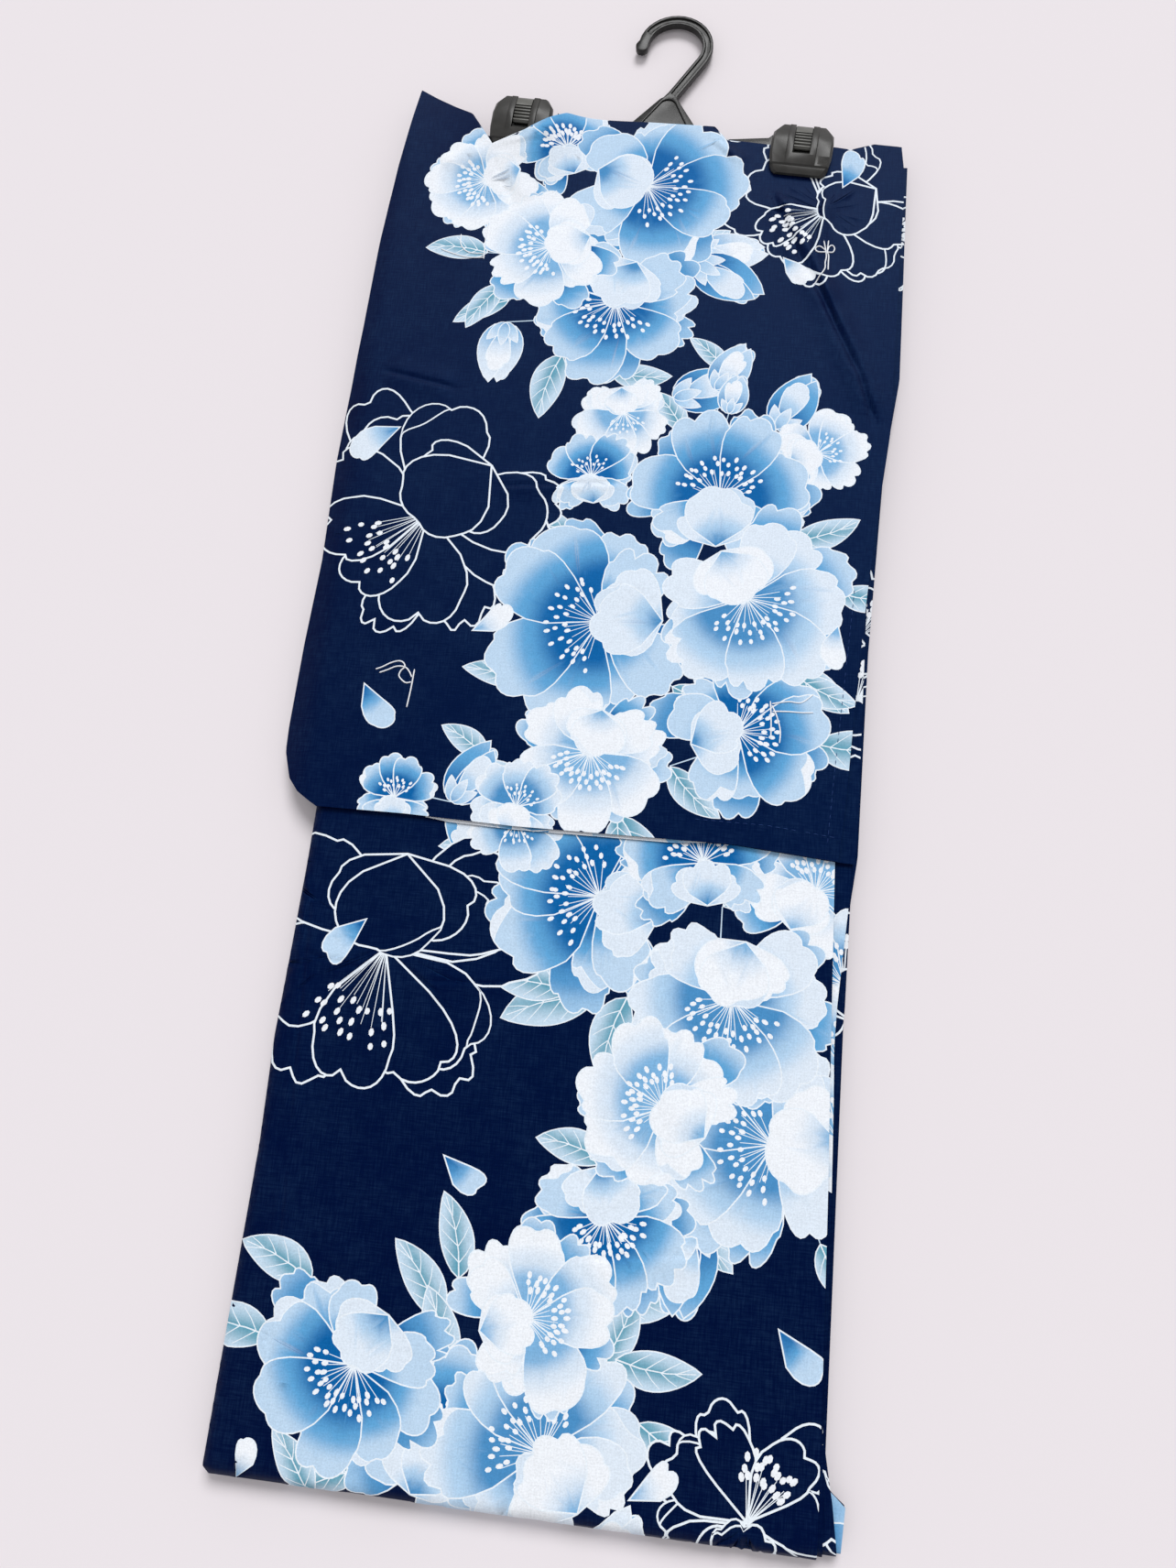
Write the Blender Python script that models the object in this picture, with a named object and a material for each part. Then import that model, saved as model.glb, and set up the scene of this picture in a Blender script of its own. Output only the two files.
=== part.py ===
"""A new cotton yukata, folded for the shop and laid flat in its two-clip hanger.

The robe is folded lengthwise to half the body's width and then in half across, so that its
shoulders lie at the hanger, its hem below them, and its left sleeve on top. It rests on the
plane z = 0 with the hanger at +Y. Each body panel is one length of cloth that runs from the
hem, round the fold, over the shoulder and back to the hem again, as it is cut.

Sizes and places are in millimetres, measured from the middle of the fold at the near end,
and MM turns them into metres. The empty "garment" moves that point so that the origin of
the part is the bottom centre of its bounding box.
"""
from collections import namedtuple
from math import asin, cos, exp, hypot, pi, radians, sin

import bmesh
import bpy
from mathutils import Vector

MM = 0.001

# ---------------------------------------------------------------- driving sizes
WALL = 1.0                  # thickness of one layer of cloth
GAP = 0.3                   # space left between layers, at seams and at fittings
PITCH = WALL + GAP          # from one layer to the next
HALF = WALL / 2

STACK = 13.0                # height of the folded body, both halves
STACK_AT_FOLD = 12.6
STACK_AT_CLIPS = 12.0
EDGE_SLUMP = 0.5            # how far the loose layers at the right edge sink
BODY_LAYERS = 4             # layers modelled in each half: two panels, back and front
HEM_Y = 765.0               # where the hem of the outermost layer ends, underneath
HEM_STEP = 3.0              # each layer inside ends this much sooner

FOLD_Y_LEFT = -2.4          # the near fold is a little askew
FOLD_Y_RIGHT = -5.3
FOLD_HALF_WIDTH = 152.0

BACK_ROLL = ((BODY_LAYERS - 1) * PITCH - GAP) / 2  # radius of the centre back fold
ROLL_STEPS = 3
FRONT_INSET = 2.4           # the front panels stop this far inside the centre back fold
ROLL_ENDS = 40.0            # the roll opens out over this length below the shoulder

SLEEVE_FOOT = 342.0         # nominal ends of the sleeve's length along Y
SLEEVE_HEAD = 820.0
CUFF_Y = 612.0              # the cuff is open above this
CUFF_LIFT = 1.2
RIDE_X = -69.0              # the sleeve rides over the left clip's corner here
RIDE_HEIGHT = 8.2
RIDE_SPREAD_LEFT = 38.0
RIDE_SPREAD_RIGHT = 22.0
REST_LEFT = -159.0          # beyond these lines nothing lies under the sleeve
REST_RIGHT = 161.0
REST_TOP = 822.0

HANGER_X = 7.4              # middle of the hanger between its clips
HANGER_Y = 809.7
HANGER_TURN = radians(-5.1)
CLIP_X = 93.0               # each clip from the hanger's middle
FRAME_BASE = 2.3            # height of the frame above the table
FRAME_THICK = 4.5

CLIP_BASE = 0.3
BITE_Y = -14.0              # the jaws bite between this line and their lower edge
BACK_JAW_TOP = 6.8
HINGE_Y = 12.0
LUG_STARTS = (-11.0, 7.5)   # two hinge lugs rise from the back jaw
LUG_WIDTH = 3.5
LUG_REACH = 2.5
LUG_FOOT = 3.0
RELIEF = 2.9                # hollow of the front jaw above its bite
OPEN_LIFT = 2 * PITCH       # the right clip also bites the two layers of the sleeve

ORIGIN_X = -3.7             # middle of the bounding box
ORIGIN_Y = 456.7

# ---------------------------------------------------------------- tables
EdgeRow = namedtuple("EdgeRow", "y centre_back left_back left_front right_front right_back")
BODY_EDGES = (              # left edge, then the right edge of each layer, outermost first
    EdgeRow(0, -157.6, 148.3, 151.0, 157.8, 160.0),
    EdgeRow(21, -157.2, 148.1, 150.2, 154.8, 161.5),
    EdgeRow(25, -157.1, 148.0, 150.0, 153.9, 152.0),
    EdgeRow(52, -156.6, 147.7, 148.6, 148.8, 147.0),
    EdgeRow(79, -156.0, 147.4, 147.8, 147.5, 146.0),
    EdgeRow(158, -154.3, 146.2, 146.7, 147.2, 145.0),
    EdgeRow(215, -155.4, 144.8, 145.5, 148.6, 145.0),
    EdgeRow(258, -153.8, 143.8, 146.8, 151.1, 146.0),
    EdgeRow(314, -152.2, 142.6, 150.8, 151.7, 147.0),
    EdgeRow(340, -152.0, 142.0, 151.9, 154.7, 148.0),
    EdgeRow(460, -151.5, 147.0, 153.0, 156.0, 150.0),
    EdgeRow(580, -151.0, 155.0, 157.0, 161.0, 154.0),
    EdgeRow(640, -150.8, 158.5, 160.5, 168.5, 157.0),
    EdgeRow(800, -150.5, 159.0, 161.0, 169.0, 158.0),
)

Point = namedtuple("Point", "x y")
SHOULDER = (                # top edge of the folded body
    Point(-160, 813), Point(-50, 813), Point(80, 809.5), Point(130, 803), Point(170, 801),
)
SLEEVE_TOP = (              # the sleeve's own fold, notched where it rides over the left clip
    Point(-156.6, 843.9), Point(-145.0, 836.8), Point(-131.5, 829.6), Point(-119.6, 824.0),
    Point(-103.0, 798.8), Point(-81.0, 807.0), Point(-54.6, 822.4), Point(-5.7, 821.8),
    Point(42.7, 819.7), Point(50.5, 809.8), Point(80.4, 806.5), Point(119.0, 806.4),
    Point(132.0, 804.7), Point(146.7, 809.5), Point(164.2, 808.0),
)
SLEEVE_BOTTOM = (
    Point(-177, 344.0), Point(-101, 343.6), Point(-37, 341.3), Point(86, 340.9),
    Point(143.5, 335.9), Point(154, 335.4),
)
SleeveRow = namedtuple("SleeveRow", "y left outer_right inner_right")
SLEEVE_EDGES = (            # cuff side, then the open side of the upper and lower layer
    SleeveRow(342, -151.4, 143.5, 152.4),
    SleeveRow(349, -163.1, 144.2, 153.2),
    SleeveRow(358, -170.4, 145.0, 153.4),
    SleeveRow(375, -175.9, 146.4, 153.5),
    SleeveRow(391, -176.4, 147.3, 153.5),
    SleeveRow(443, -175.3, 150.0, 153.5),
    SleeveRow(497, -172.5, 153.6, 153.6),
    SleeveRow(564, -173.8, 159.6, 157.0),
    SleeveRow(600, -172.4, 163.3, 161.0),
    SleeveRow(660, -169.8, 164.2, 162.4),
    SleeveRow(723, -168.0, 165.7, 163.4),
    SleeveRow(750, -166.1, 166.2, 163.8),
    SleeveRow(772, -163.8, 166.6, 164.2),
    SleeveRow(789, -160.9, 166.8, 164.4),
    SleeveRow(805, -158.6, 165.8, 164.0),
    SleeveRow(820, -156.6, 164.2, 163.4),
)
SLEEVE_ROWS_Y = (342, 349, 358, 375, 391, 417, 443, 470, 497, 530, 564, 600, 629, 660, 690,
                 723, 750, 772, 789, 805, 820)

Fold = namedtuple("Fold", "x0 y0 x1 y1 width height")
SLEEVE_FOLDS = (            # soft ridges in the sleeve's upper layer
    Fold(82, 780, 99, 739, 9, 1.3),
    Fold(99, 739, 123, 690, 10, 1.7),
    Fold(123, 690, 157, 603, 10, 1.4),
    Fold(119, 780, 113, 716, 7, 0.9),
    Fold(-154, 627, -103, 616, 9, 0.8),
    Fold(-78, 550, 11, 558, 8, 0.8),
)

UNDER_Y = (400.0, 120.0, 52.0, 25.0, 21.0)
OVER_Y = (21, 25, 52, 79, 158, 215, 258, 314, 340, 460, 580, 640, 700, 740, 760, 780)
BEND_STEPS = 6
FLAT_SHARES = (0.2, 0.4, 0.6, 0.8, 0.93, 1.0)


# ---------------------------------------------------------------- small helpers
def ease(share):
    """Smooth step from 0 to 1."""
    share = min(max(share, 0.0), 1.0)
    return share * share * (3 - 2 * share)


def blend(a, b, share):
    return a + (b - a) * share


def look_up(rows, value, key, column):
    """Straight-line reading of a table's column at a value of its key column."""
    previous = rows[0]
    if value <= getattr(previous, key):
        return getattr(previous, column)
    for row in rows[1:]:
        if value <= getattr(row, key):
            span = getattr(row, key) - getattr(previous, key)
            share = (value - getattr(previous, key)) / span
            return blend(getattr(previous, column), getattr(row, column), share)
        previous = row
    return getattr(previous, column)


def distance_to_line(x, y, fold):
    """Distance from a point to a fold's line."""
    run = (fold.x1 - fold.x0, fold.y1 - fold.y0)
    length2 = run[0] ** 2 + run[1] ** 2
    share = ((x - fold.x0) * run[0] + (y - fold.y0) * run[1]) / length2
    share = min(max(share, 0.0), 1.0)
    return hypot(x - fold.x0 - share * run[0], y - fold.y0 - share * run[1])


def plain_material(name, colour, roughness, sheen=0.0):
    material = bpy.data.materials.new(name)
    material.use_nodes = True
    shader = material.node_tree.nodes["Principled BSDF"]
    shader.inputs["Base Color"].default_value = (*colour, 1.0)
    shader.inputs["Roughness"].default_value = roughness
    shader.inputs["Metallic"].default_value = 0.0
    shader.inputs["Sheen Weight"].default_value = sheen
    return material


def add_object(name, mesh, material, parent, location=(0, 0, 0), rotation=(0, 0, 0)):
    obj = bpy.data.objects.new(name, mesh)
    bpy.context.scene.collection.objects.link(obj)
    obj.parent = parent
    obj.location = Vector(location) * MM
    obj.rotation_euler = rotation
    if material is not None:
        mesh.materials.append(material)
    return obj


def mesh_from(name, points, faces, smooth_angle=None):
    """A mesh from points in millimetres, with its faces turned outward."""
    shape = bmesh.new()
    corners = [shape.verts.new(Vector(point) * MM) for point in points]
    for face in faces:
        shape.faces.new([corners[index] for index in face])
    bmesh.ops.recalc_face_normals(shape, faces=shape.faces)
    mesh = bpy.data.meshes.new(name)
    shape.to_mesh(mesh)
    shape.free()
    if smooth_angle is not None:
        mesh.shade_smooth()
        mesh.set_sharp_from_angle(angle=smooth_angle)
    return mesh


def wall_from_skins(name, rows):
    """A closed wall of cloth from rows of (one skin, other skin) point pairs."""
    across = len(rows[0])
    points = [point for row in rows for pair in row for point in pair]

    def at(row, column, skin):
        return (row * across + column) * 2 + skin

    faces = []
    for i in range(len(rows) - 1):
        for j in range(across - 1):
            faces.append((at(i, j, 0), at(i, j + 1, 0), at(i + 1, j + 1, 0), at(i + 1, j, 0)))
            faces.append((at(i, j, 1), at(i + 1, j, 1), at(i + 1, j + 1, 1), at(i, j + 1, 1)))
        for j in (0, across - 1):
            faces.append((at(i, j, 0), at(i + 1, j, 0), at(i + 1, j, 1), at(i, j, 1)))
    for i in (0, len(rows) - 1):
        for j in range(across - 1):
            faces.append((at(i, j, 0), at(i, j + 1, 0), at(i, j + 1, 1), at(i, j, 1)))
    return mesh_from(name, points, faces, smooth_angle=radians(50))


def loft(name, sections, smooth_angle=None):
    """A solid through closed sections that have the same number of points."""
    count = len(sections[0])
    points = [point for section in sections for point in section]
    faces = [tuple(range(count)), tuple(range(len(points) - count, len(points)))]
    for i in range(len(sections) - 1):
        for j in range(count):
            k = (j + 1) % count
            faces.append((i * count + j, i * count + k, (i + 1) * count + k, (i + 1) * count + j))
    return mesh_from(name, points, faces, smooth_angle)


def prism(name, outline, base, height, smooth_angle=None):
    """A flat outline raised along Z."""
    floor = [(x, y, base) for x, y in outline]
    roof = [(x, y, base + height) for x, y in outline]
    return loft(name, [floor, roof], smooth_angle)


def block(name, low, high):
    outline = ((low[0], low[1]), (high[0], low[1]), (high[0], high[1]), (low[0], high[1]))
    return prism(name, outline, low[2], high[2] - low[2])


def arc(centre, radius, start, end, steps):
    """Points on an arc, angles in degrees."""
    angles = [radians(blend(start, end, i / steps)) for i in range(steps + 1)]
    return [(centre[0] + radius * cos(a), centre[1] + radius * sin(a)) for a in angles]


def combine(obj, tool, operation):
    """Cut or join with a hidden tool object."""
    tool.hide_render = True
    tool.display_type = "WIRE"
    modifier = obj.modifiers.new(operation.title(), "BOOLEAN")
    modifier.operation = operation
    modifier.solver = "EXACT"
    modifier.object = tool


# ---------------------------------------------------------------- the folded body
def stack_top(x, y):
    """Height of the folded body's upper surface."""
    height = blend(STACK_AT_FOLD, STACK, ease(y / 150))
    height -= (STACK - STACK_AT_CLIPS) * ease((y - 695) / 80)
    return height - EDGE_SLUMP * ease((x - 100) / 60)


def fold_edge(x):
    """Y of the outermost surface at the near fold."""
    return blend(FOLD_Y_LEFT, FOLD_Y_RIGHT, (x / FOLD_HALF_WIDTH + 1) / 2)


def shoulder_edge(x, inset):
    return look_up(SHOULDER, x, "x", "y") - inset


Layer = namedtuple("Layer", "column depth roll")
LEFT_BACK = Layer("left_back", HALF, 1)
LEFT_FRONT = Layer("left_front", HALF + PITCH, 0)
RIGHT_FRONT = Layer("right_front", HALF + 2 * PITCH, 0)
RIGHT_BACK = Layer("right_back", HALF + 3 * PITCH, -1)


def layer_section(layer, y, opened):
    """Points across a layer as (x, depth, normal x, normal depth), from the left edge.

    The two backs roll toward each other at the centre back seam, and "opened" from 0 to 1
    straightens that roll near the shoulder.
    """
    left = look_up(BODY_EDGES, y, "y", "centre_back")
    right = look_up(BODY_EDGES, y, "y", layer.column)
    start = left + BACK_ROLL
    if layer.roll == 0:
        start += FRONT_INSET
    turn = pi / 2 * (1 - opened) * abs(layer.roll)
    length = pi / 2 * BACK_ROLL
    section = []
    for i in range(ROLL_STEPS, -1, -1):
        share = i / ROLL_STEPS
        angle = turn * share
        if turn < 0.01:
            section.append((start - length * share, layer.depth, 0.0, 1.0))
        else:
            radius = length / turn
            depth = layer.depth + layer.roll * radius * (1 - cos(angle))
            section.append((start - radius * sin(angle), depth, layer.roll * sin(angle), cos(angle)))
    section += [(blend(start, right, share), layer.depth, 0.0, 1.0) for share in FLAT_SHARES]
    return section


def under_seat(x, y, depth):
    return (x, y, depth)


def bend_seat(x, angle, depth):
    radius = stack_top(x, 0) / 2
    reach = radius - depth
    return (x, fold_edge(x) + radius - reach * cos(angle), radius + reach * sin(angle))


def over_seat(x, y, depth):
    return (x, y, stack_top(x, y) - depth)


def layer_row(layer, y, seat, place, opened=0.0, flipped=False):
    """One row of skin pairs across a layer; place is a Y, an angle or a function of x."""
    row = []
    for x, depth, nx, nd in layer_section(layer, y, opened):
        pair = []
        for side in (-HALF, HALF):
            px = x + side * nx
            where = place(px) if callable(place) else place
            pair.append(seat(px, where, depth + side * nd))
        row.append(tuple(reversed(pair)) if flipped else tuple(pair))
    return row


def layer_rows(layer, order, inset, flipped):
    """Rows from the hem underneath, round the fold and up to the shoulder."""
    hem = HEM_Y - HEM_STEP * order
    rows = [layer_row(layer, y, under_seat, y, flipped=flipped) for y in (hem, *UNDER_Y)]
    for i in range(BEND_STEPS + 1):
        angle = blend(-pi / 2, pi / 2, i / BEND_STEPS)
        rows.append(layer_row(layer, 0, bend_seat, angle, flipped=flipped))
    for y in OVER_Y:
        opened = ease((y - (OVER_Y[-1] - ROLL_ENDS)) / ROLL_ENDS)
        rows.append(layer_row(layer, y, over_seat, y, opened, flipped))
    rows.append(layer_row(layer, 800, over_seat, lambda x: shoulder_edge(x, inset), 1.0, flipped))
    return rows


def shoulder_turn(back, front, inset):
    """Rows that carry the cloth over the shoulder from the outer layer to the one inside."""
    middle = (back.depth + front.depth) / 2
    radius = abs(front.depth - back.depth) / 2
    outer = layer_section(back, 800, 1.0)
    inner = layer_section(front, 800, 1.0)
    rows = []
    for step in (1, 2, 3):
        angle = pi * step / 4
        row = []
        for start, end in zip(outer, inner):
            x = blend(start[0], end[0], step / 4)
            pair = []
            for side in (HALF, -HALF):
                y = shoulder_edge(x, inset) + (radius + side) * sin(angle)
                pair.append(over_seat(x, y, middle - (radius + side) * cos(angle)))
            row.append(tuple(pair))
        rows.append(row)
    return rows


def body_panel(name, outer, inner, order, material, parent):
    """A body panel: the outer run, the shoulder and the inner run, in one length of cloth."""
    inset = 1.5 + order
    rows = layer_rows(outer, order, inset, flipped=False)
    rows += shoulder_turn(outer, inner, inset)
    rows += reversed(layer_rows(inner, order + 1, inset, flipped=True))
    return add_object(name, wall_from_skins(name, rows), material, parent)


CORE_STEPS = (149.0, 145.0, 151.0)   # right edges of the three bundles of hidden layers


def folded_core(material, parent):
    """The layers that nothing shows: one rounded solid, stepped where its bundles end."""
    floor = BODY_LAYERS * PITCH

    def section(y, trim):
        left = look_up(BODY_EDGES, y, "y", "centre_back") + 3.0 + trim
        heights = [floor, *(floor + share * (stack_top(150, y) - 2 * floor) for share in (1 / 3, 2 / 3))]
        points = [(left + 1.4, y, floor)]
        for edge, low, high in zip(CORE_STEPS, heights, (*heights[1:], None)):
            roof = stack_top(edge - trim, y) - floor if high is None else high
            points += [(edge - trim, y, low), (edge - trim, y, roof)]
        for share in (0.6, 0.2):
            x = blend(left, CORE_STEPS[-1], share)
            points.append((x, y, stack_top(x, y) - floor))
        roof = stack_top(left, y) - floor
        points += [(left + 1.4, y, roof), (left, y, blend(floor, roof, 0.62)),
                   (left, y, blend(floor, roof, 0.38))]
        return points

    near = fold_edge(0) + stack_top(0, 0) / 2 + 1.0
    stations = ((near, 3.0), (near + 12, 0.0), (79, 0.0), (215, 0.0), (340, 0.0), (580, 0.0),
                (720, 0.0), (HEM_Y - 14, 0.0), (HEM_Y - 12, 3.0))
    mesh = loft("folded_core", [section(y, trim) for y, trim in stations])
    return add_object("folded_core", mesh, material, parent)


# ---------------------------------------------------------------- the sleeve
def ride_over_clip(x, y):
    """Rise of the sleeve where it passes over the corner of the left clip."""
    spread = RIDE_SPREAD_LEFT if x < RIDE_X else RIDE_SPREAD_RIGHT
    return RIDE_HEIGHT * exp(-((x - RIDE_X) / spread) ** 2) * ease((y - 758) / 60)


def overhang_drop(x, y):
    """Fall of the sleeve beyond what it lies on, at its left and beyond the shoulder."""
    past_left = max(0.0, REST_LEFT - x) / 10
    past_right = max(0.0, x - REST_RIGHT) / 10
    past_shoulder = max(0.0, y - REST_TOP) / 10
    return 2.2 * past_left ** 1.5 + past_right ** 1.5 + 0.35 * past_shoulder ** 1.5


def sleeve_height(x, y):
    """Height of the middle of the sleeve's lower layer."""
    body = stack_top(max(x, -150.0), min(y, SLEEVE_HEAD))
    return body + GAP + HALF + ride_over_clip(x, y) - overhang_drop(x, y)


def fold_rise(x, y):
    """Rise of the upper layer along its folds, which die out at the right clip's bite."""
    rise = sum(f.height * exp(-(distance_to_line(x, y, f) / f.width) ** 2) for f in SLEEVE_FOLDS)
    return rise * ease((774 - y) / 16)


def cuff_rise(x, y):
    """The open cuff parts a little."""
    left = look_up(SLEEVE_EDGES, y, "y", "left")
    return CUFF_LIFT * exp(-(x - left) / 18) * ease((y - CUFF_Y) / 30) * ease((840 - y) / 40)


def sleeve_point(share, nominal, column, left_inset=0.0):
    """Plan position on the sleeve: share across it, at a nominal height."""
    left = look_up(SLEEVE_EDGES, nominal, "y", "left") + left_inset
    right = look_up(SLEEVE_EDGES, nominal, "y", column)
    x = blend(left, right, share)
    top = look_up(SLEEVE_TOP, x, "x", "y") - SLEEVE_HEAD
    bottom = look_up(SLEEVE_BOTTOM, x, "x", "y") - SLEEVE_FOOT
    y = nominal + top * ease((nominal - 740) / 80) + bottom * ease((420 - nominal) / 78)
    return x, y


def sleeve_shares():
    """Shares across the sleeve that pass through every mark of its top edge."""
    left, right = SLEEVE_TOP[0].x, SLEEVE_TOP[-1].x
    marks = [(point.x - left) / (right - left) for point in SLEEVE_TOP]
    extra = (0.058, 0.273, 0.395, 0.545, 0.69, 0.795)
    return sorted([*marks, *extra])


def left_sleeve(material, parent):
    """The left sleeve: two layers of one cloth, folded at its top."""
    shares = sleeve_shares()
    upper, lower = [], []
    for nominal in SLEEVE_ROWS_Y:
        above, below = [], []
        for share in shares:
            x, y = sleeve_point(share, nominal, "outer_right")
            z = sleeve_height(x, y) + PITCH
            if nominal < SLEEVE_HEAD:
                z += fold_rise(x, y) + cuff_rise(x, y)
            above.append(((x, y, z + HALF), (x, y, z - HALF)))
            column = "inner_right" if nominal < SLEEVE_HEAD else "outer_right"
            x, y = sleeve_point(share, nominal, column)
            z = sleeve_height(x, y)
            below.append(((x, y, z - HALF), (x, y, z + HALF)))
        upper.append(above)
        lower.append(below)

    edge = [(pair[0][0], pair[0][1]) for pair in upper[-1]]
    turn = []
    for step in (1, 2, 3):
        angle = pi * step / 4
        row = []
        for j, (x, y) in enumerate(edge):
            before, after = edge[max(j - 1, 0)], edge[min(j + 1, len(edge) - 1)]
            run = hypot(after[0] - before[0], after[1] - before[1])
            out_x, out_y = -(after[1] - before[1]) / run, (after[0] - before[0]) / run
            middle = sleeve_height(x, y) + PITCH / 2
            pair = []
            for radius in (PITCH / 2 + HALF, PITCH / 2 - HALF):
                reach = radius * sin(angle)
                pair.append((x + out_x * reach, y + out_y * reach, middle + radius * cos(angle)))
            row.append(tuple(pair))
        turn.append(row)
    mesh = wall_from_skins("left_sleeve", upper + turn + lower[::-1])
    return add_object("left_sleeve", mesh, material, parent)


# ---------------------------------------------------------------- the hanger
HOOK_CENTRE = (-3.1, 83.7)
HOOK_RADIUS = 21.9
HOOK_WIDTH = 7.0
HOOK_START = -26.0          # degrees, where the straight stem meets the hook
HOOK_END = 176.0
STEM = 34.0
TIP_CENTRE = (-26.0, 81.2)
TIP_RADIUS = 4.3

APEX = (-0.2, 33.5)
APEX_RADIUS = 8.3
FLANK = 34.0                # degrees, the direction square to the neck plate's flanks
PLATE_HALF = 26.5
BAR_LOW = 1.4
BAR_HIGH = 11.4
GUSSET_START = 42.0
GUSSET_HIGH = 19.5
CLIP_HALF = 20.0


def hook_side(width_share, steps=20):
    """One side of the hook from the foot of its stem to its end: -1 inner, 1 outer."""
    radius = HOOK_RADIUS + width_share * HOOK_WIDTH / 2
    bend = arc(HOOK_CENTRE, radius, HOOK_START, HOOK_END, steps)
    down = (sin(radians(HOOK_START)), -cos(radians(HOOK_START)))
    foot = (bend[0][0] + down[0] * STEM, bend[0][1] + down[1] * STEM)
    return [foot, *bend]


def frame_outline():
    """The hanger's frame: bar, gussets at the clips, neck plate, stem and hook."""
    end = CLIP_X - CLIP_HALF - GAP
    right_bar = [(-end, BAR_LOW), (end, BAR_LOW), (end, GUSSET_HIGH), (end - 2.5, GUSSET_HIGH - 3),
                 (GUSSET_START, BAR_HIGH + 0.4), (PLATE_HALF, BAR_HIGH)]
    right_apex = arc(APEX, APEX_RADIUS, FLANK, 50, 2)
    left_apex = arc(APEX, APEX_RADIUS, 118, 180 - FLANK, 2)
    tip = arc(TIP_CENTRE, TIP_RADIUS, 150, 375, 9)
    left_bar = [(-PLATE_HALF, BAR_HIGH), (-GUSSET_START, BAR_HIGH + 0.4),
                (-end + 2.5, GUSSET_HIGH - 3), (-end, GUSSET_HIGH)]
    hook = hook_side(1) + tip + hook_side(-1)[::-1]
    return right_bar + right_apex + hook + left_apex + left_bar


def groove_outline():
    """The shallow channel along the stem and the hook."""
    outer, inner = hook_side(0.45), hook_side(-0.45)
    return outer[:-2] + inner[:-2][::-1]


def plate_recess_outline():
    """The sunk face of the neck plate inside its rim."""
    rim = 2.6
    half = PLATE_HALF - 6.5
    return [(-half, BAR_HIGH - 1.0), (half, BAR_HIGH - 1.0),
            *arc(APEX, APEX_RADIUS - rim, FLANK, 180 - FLANK, 6)]


def hanger_frame(material, parent):
    mesh = prism("hanger_frame", frame_outline(), FRAME_BASE, FRAME_THICK, radians(40))
    frame = add_object("hanger_frame", mesh, material, parent)
    top = FRAME_BASE + FRAME_THICK
    for name, outline, depth in (("channel", groove_outline(), 1.2),
                                 ("recess", plate_recess_outline(), 1.0)):
        cutter = add_object(f"hanger_{name}_cutter", prism(name, outline, top - depth, 3.0), None, parent)
        combine(frame, cutter, "DIFFERENCE")
    return frame


JawRow = namedtuple("JawRow", "y half_width bite outer rail")
FRONT_JAW = (               # heights above the cloth: inner face, outer face, raised rails
    JawRow(-19.0, 15.0, 0.0, 1.8, 0.0),
    JawRow(-17.5, 17.0, 0.0, 2.6, 0.0),
    JawRow(BITE_Y, 18.6, 0.0, 3.3, 0.0),
    JawRow(-13.2, 18.9, RELIEF, 3.5 + RELIEF / 4, 0.2),
    JawRow(-6.0, 20.0, RELIEF, 5.4, 0.7),
    JawRow(4.0, 20.0, RELIEF, 7.2, 0.7),
    JawRow(12.0, 19.4, RELIEF, 6.2, 0.7),
    JawRow(19.0, 15.0, RELIEF, 4.9, 0.5),
)
BackRow = namedtuple("BackRow", "y half_width height")
BACK_JAW = (
    BackRow(-20.0, 15.6, BACK_JAW_TOP),
    BackRow(-17.5, 17.4, BACK_JAW_TOP),
    BackRow(BITE_Y, 18.6, BACK_JAW_TOP),
    BackRow(BITE_Y + 0.8, 18.9, BACK_JAW_TOP - 2.2),
    BackRow(-6.0, 20.0, BACK_JAW_TOP - 2.2),
    BackRow(12.0, 20.0, BACK_JAW_TOP - 2.2),
    BackRow(19.0, 15.0, BACK_JAW_TOP - 2.2),
)
RAIL_OUTER = 9.4
SLOT_HALF = 5.6
SLOT_FLOOR = RELIEF + 0.9
SLOT_END = -6.0
BEVEL = 1.6

SLIDER_HALF = SLOT_HALF - GAP
SLIDER_LOW = -1.4
SLIDER_HIGH = 18.6
RIB_PITCH = 2.3
RIBS = 5
RIB_DEPTH = 0.9


def front_jaw_section(row):
    """A section across the front jaw, its heights measured from the hinge line."""
    w, y = row.half_width, row.y - HINGE_Y
    inner, outer = row.bite - RELIEF, row.outer - RELIEF
    edge = max(outer - BEVEL, inner + 0.6)
    half = [(w, y, inner), (w, y, edge), (w - BEVEL, y, outer), (RAIL_OUTER + 0.4, y, outer),
            (RAIL_OUTER, y, outer + row.rail)]
    return half + [(-x, y, z) for x, y, z in reversed(half)]


def slider_profile():
    """The slider's side view: a sloping cap above a row of ribs."""
    top = FRONT_JAW[5].outer - RELIEF + 0.2
    floor = SLOT_FLOOR - RELIEF + GAP
    points = [(SLIDER_LOW, floor), (SLIDER_LOW, top - 2.2)]
    for i in range(RIBS):
        start = SLIDER_LOW + 0.5 + i * RIB_PITCH
        crest = top - 0.9 * (1 - i / (RIBS - 1)) ** 2
        points += [(start, crest - RIB_DEPTH), (start + 0.4, crest), (start + 1.4, crest),
                   (start + 1.8, crest - RIB_DEPTH)]
    points += [(SLIDER_LOW + 0.5 + RIBS * RIB_PITCH, top), (SLIDER_HIGH - 2.5, top - 1.0),
               (SLIDER_HIGH, top - 2.6), (SLIDER_HIGH, floor)]
    return [(y - HINGE_Y, z) for y, z in points]


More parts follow.
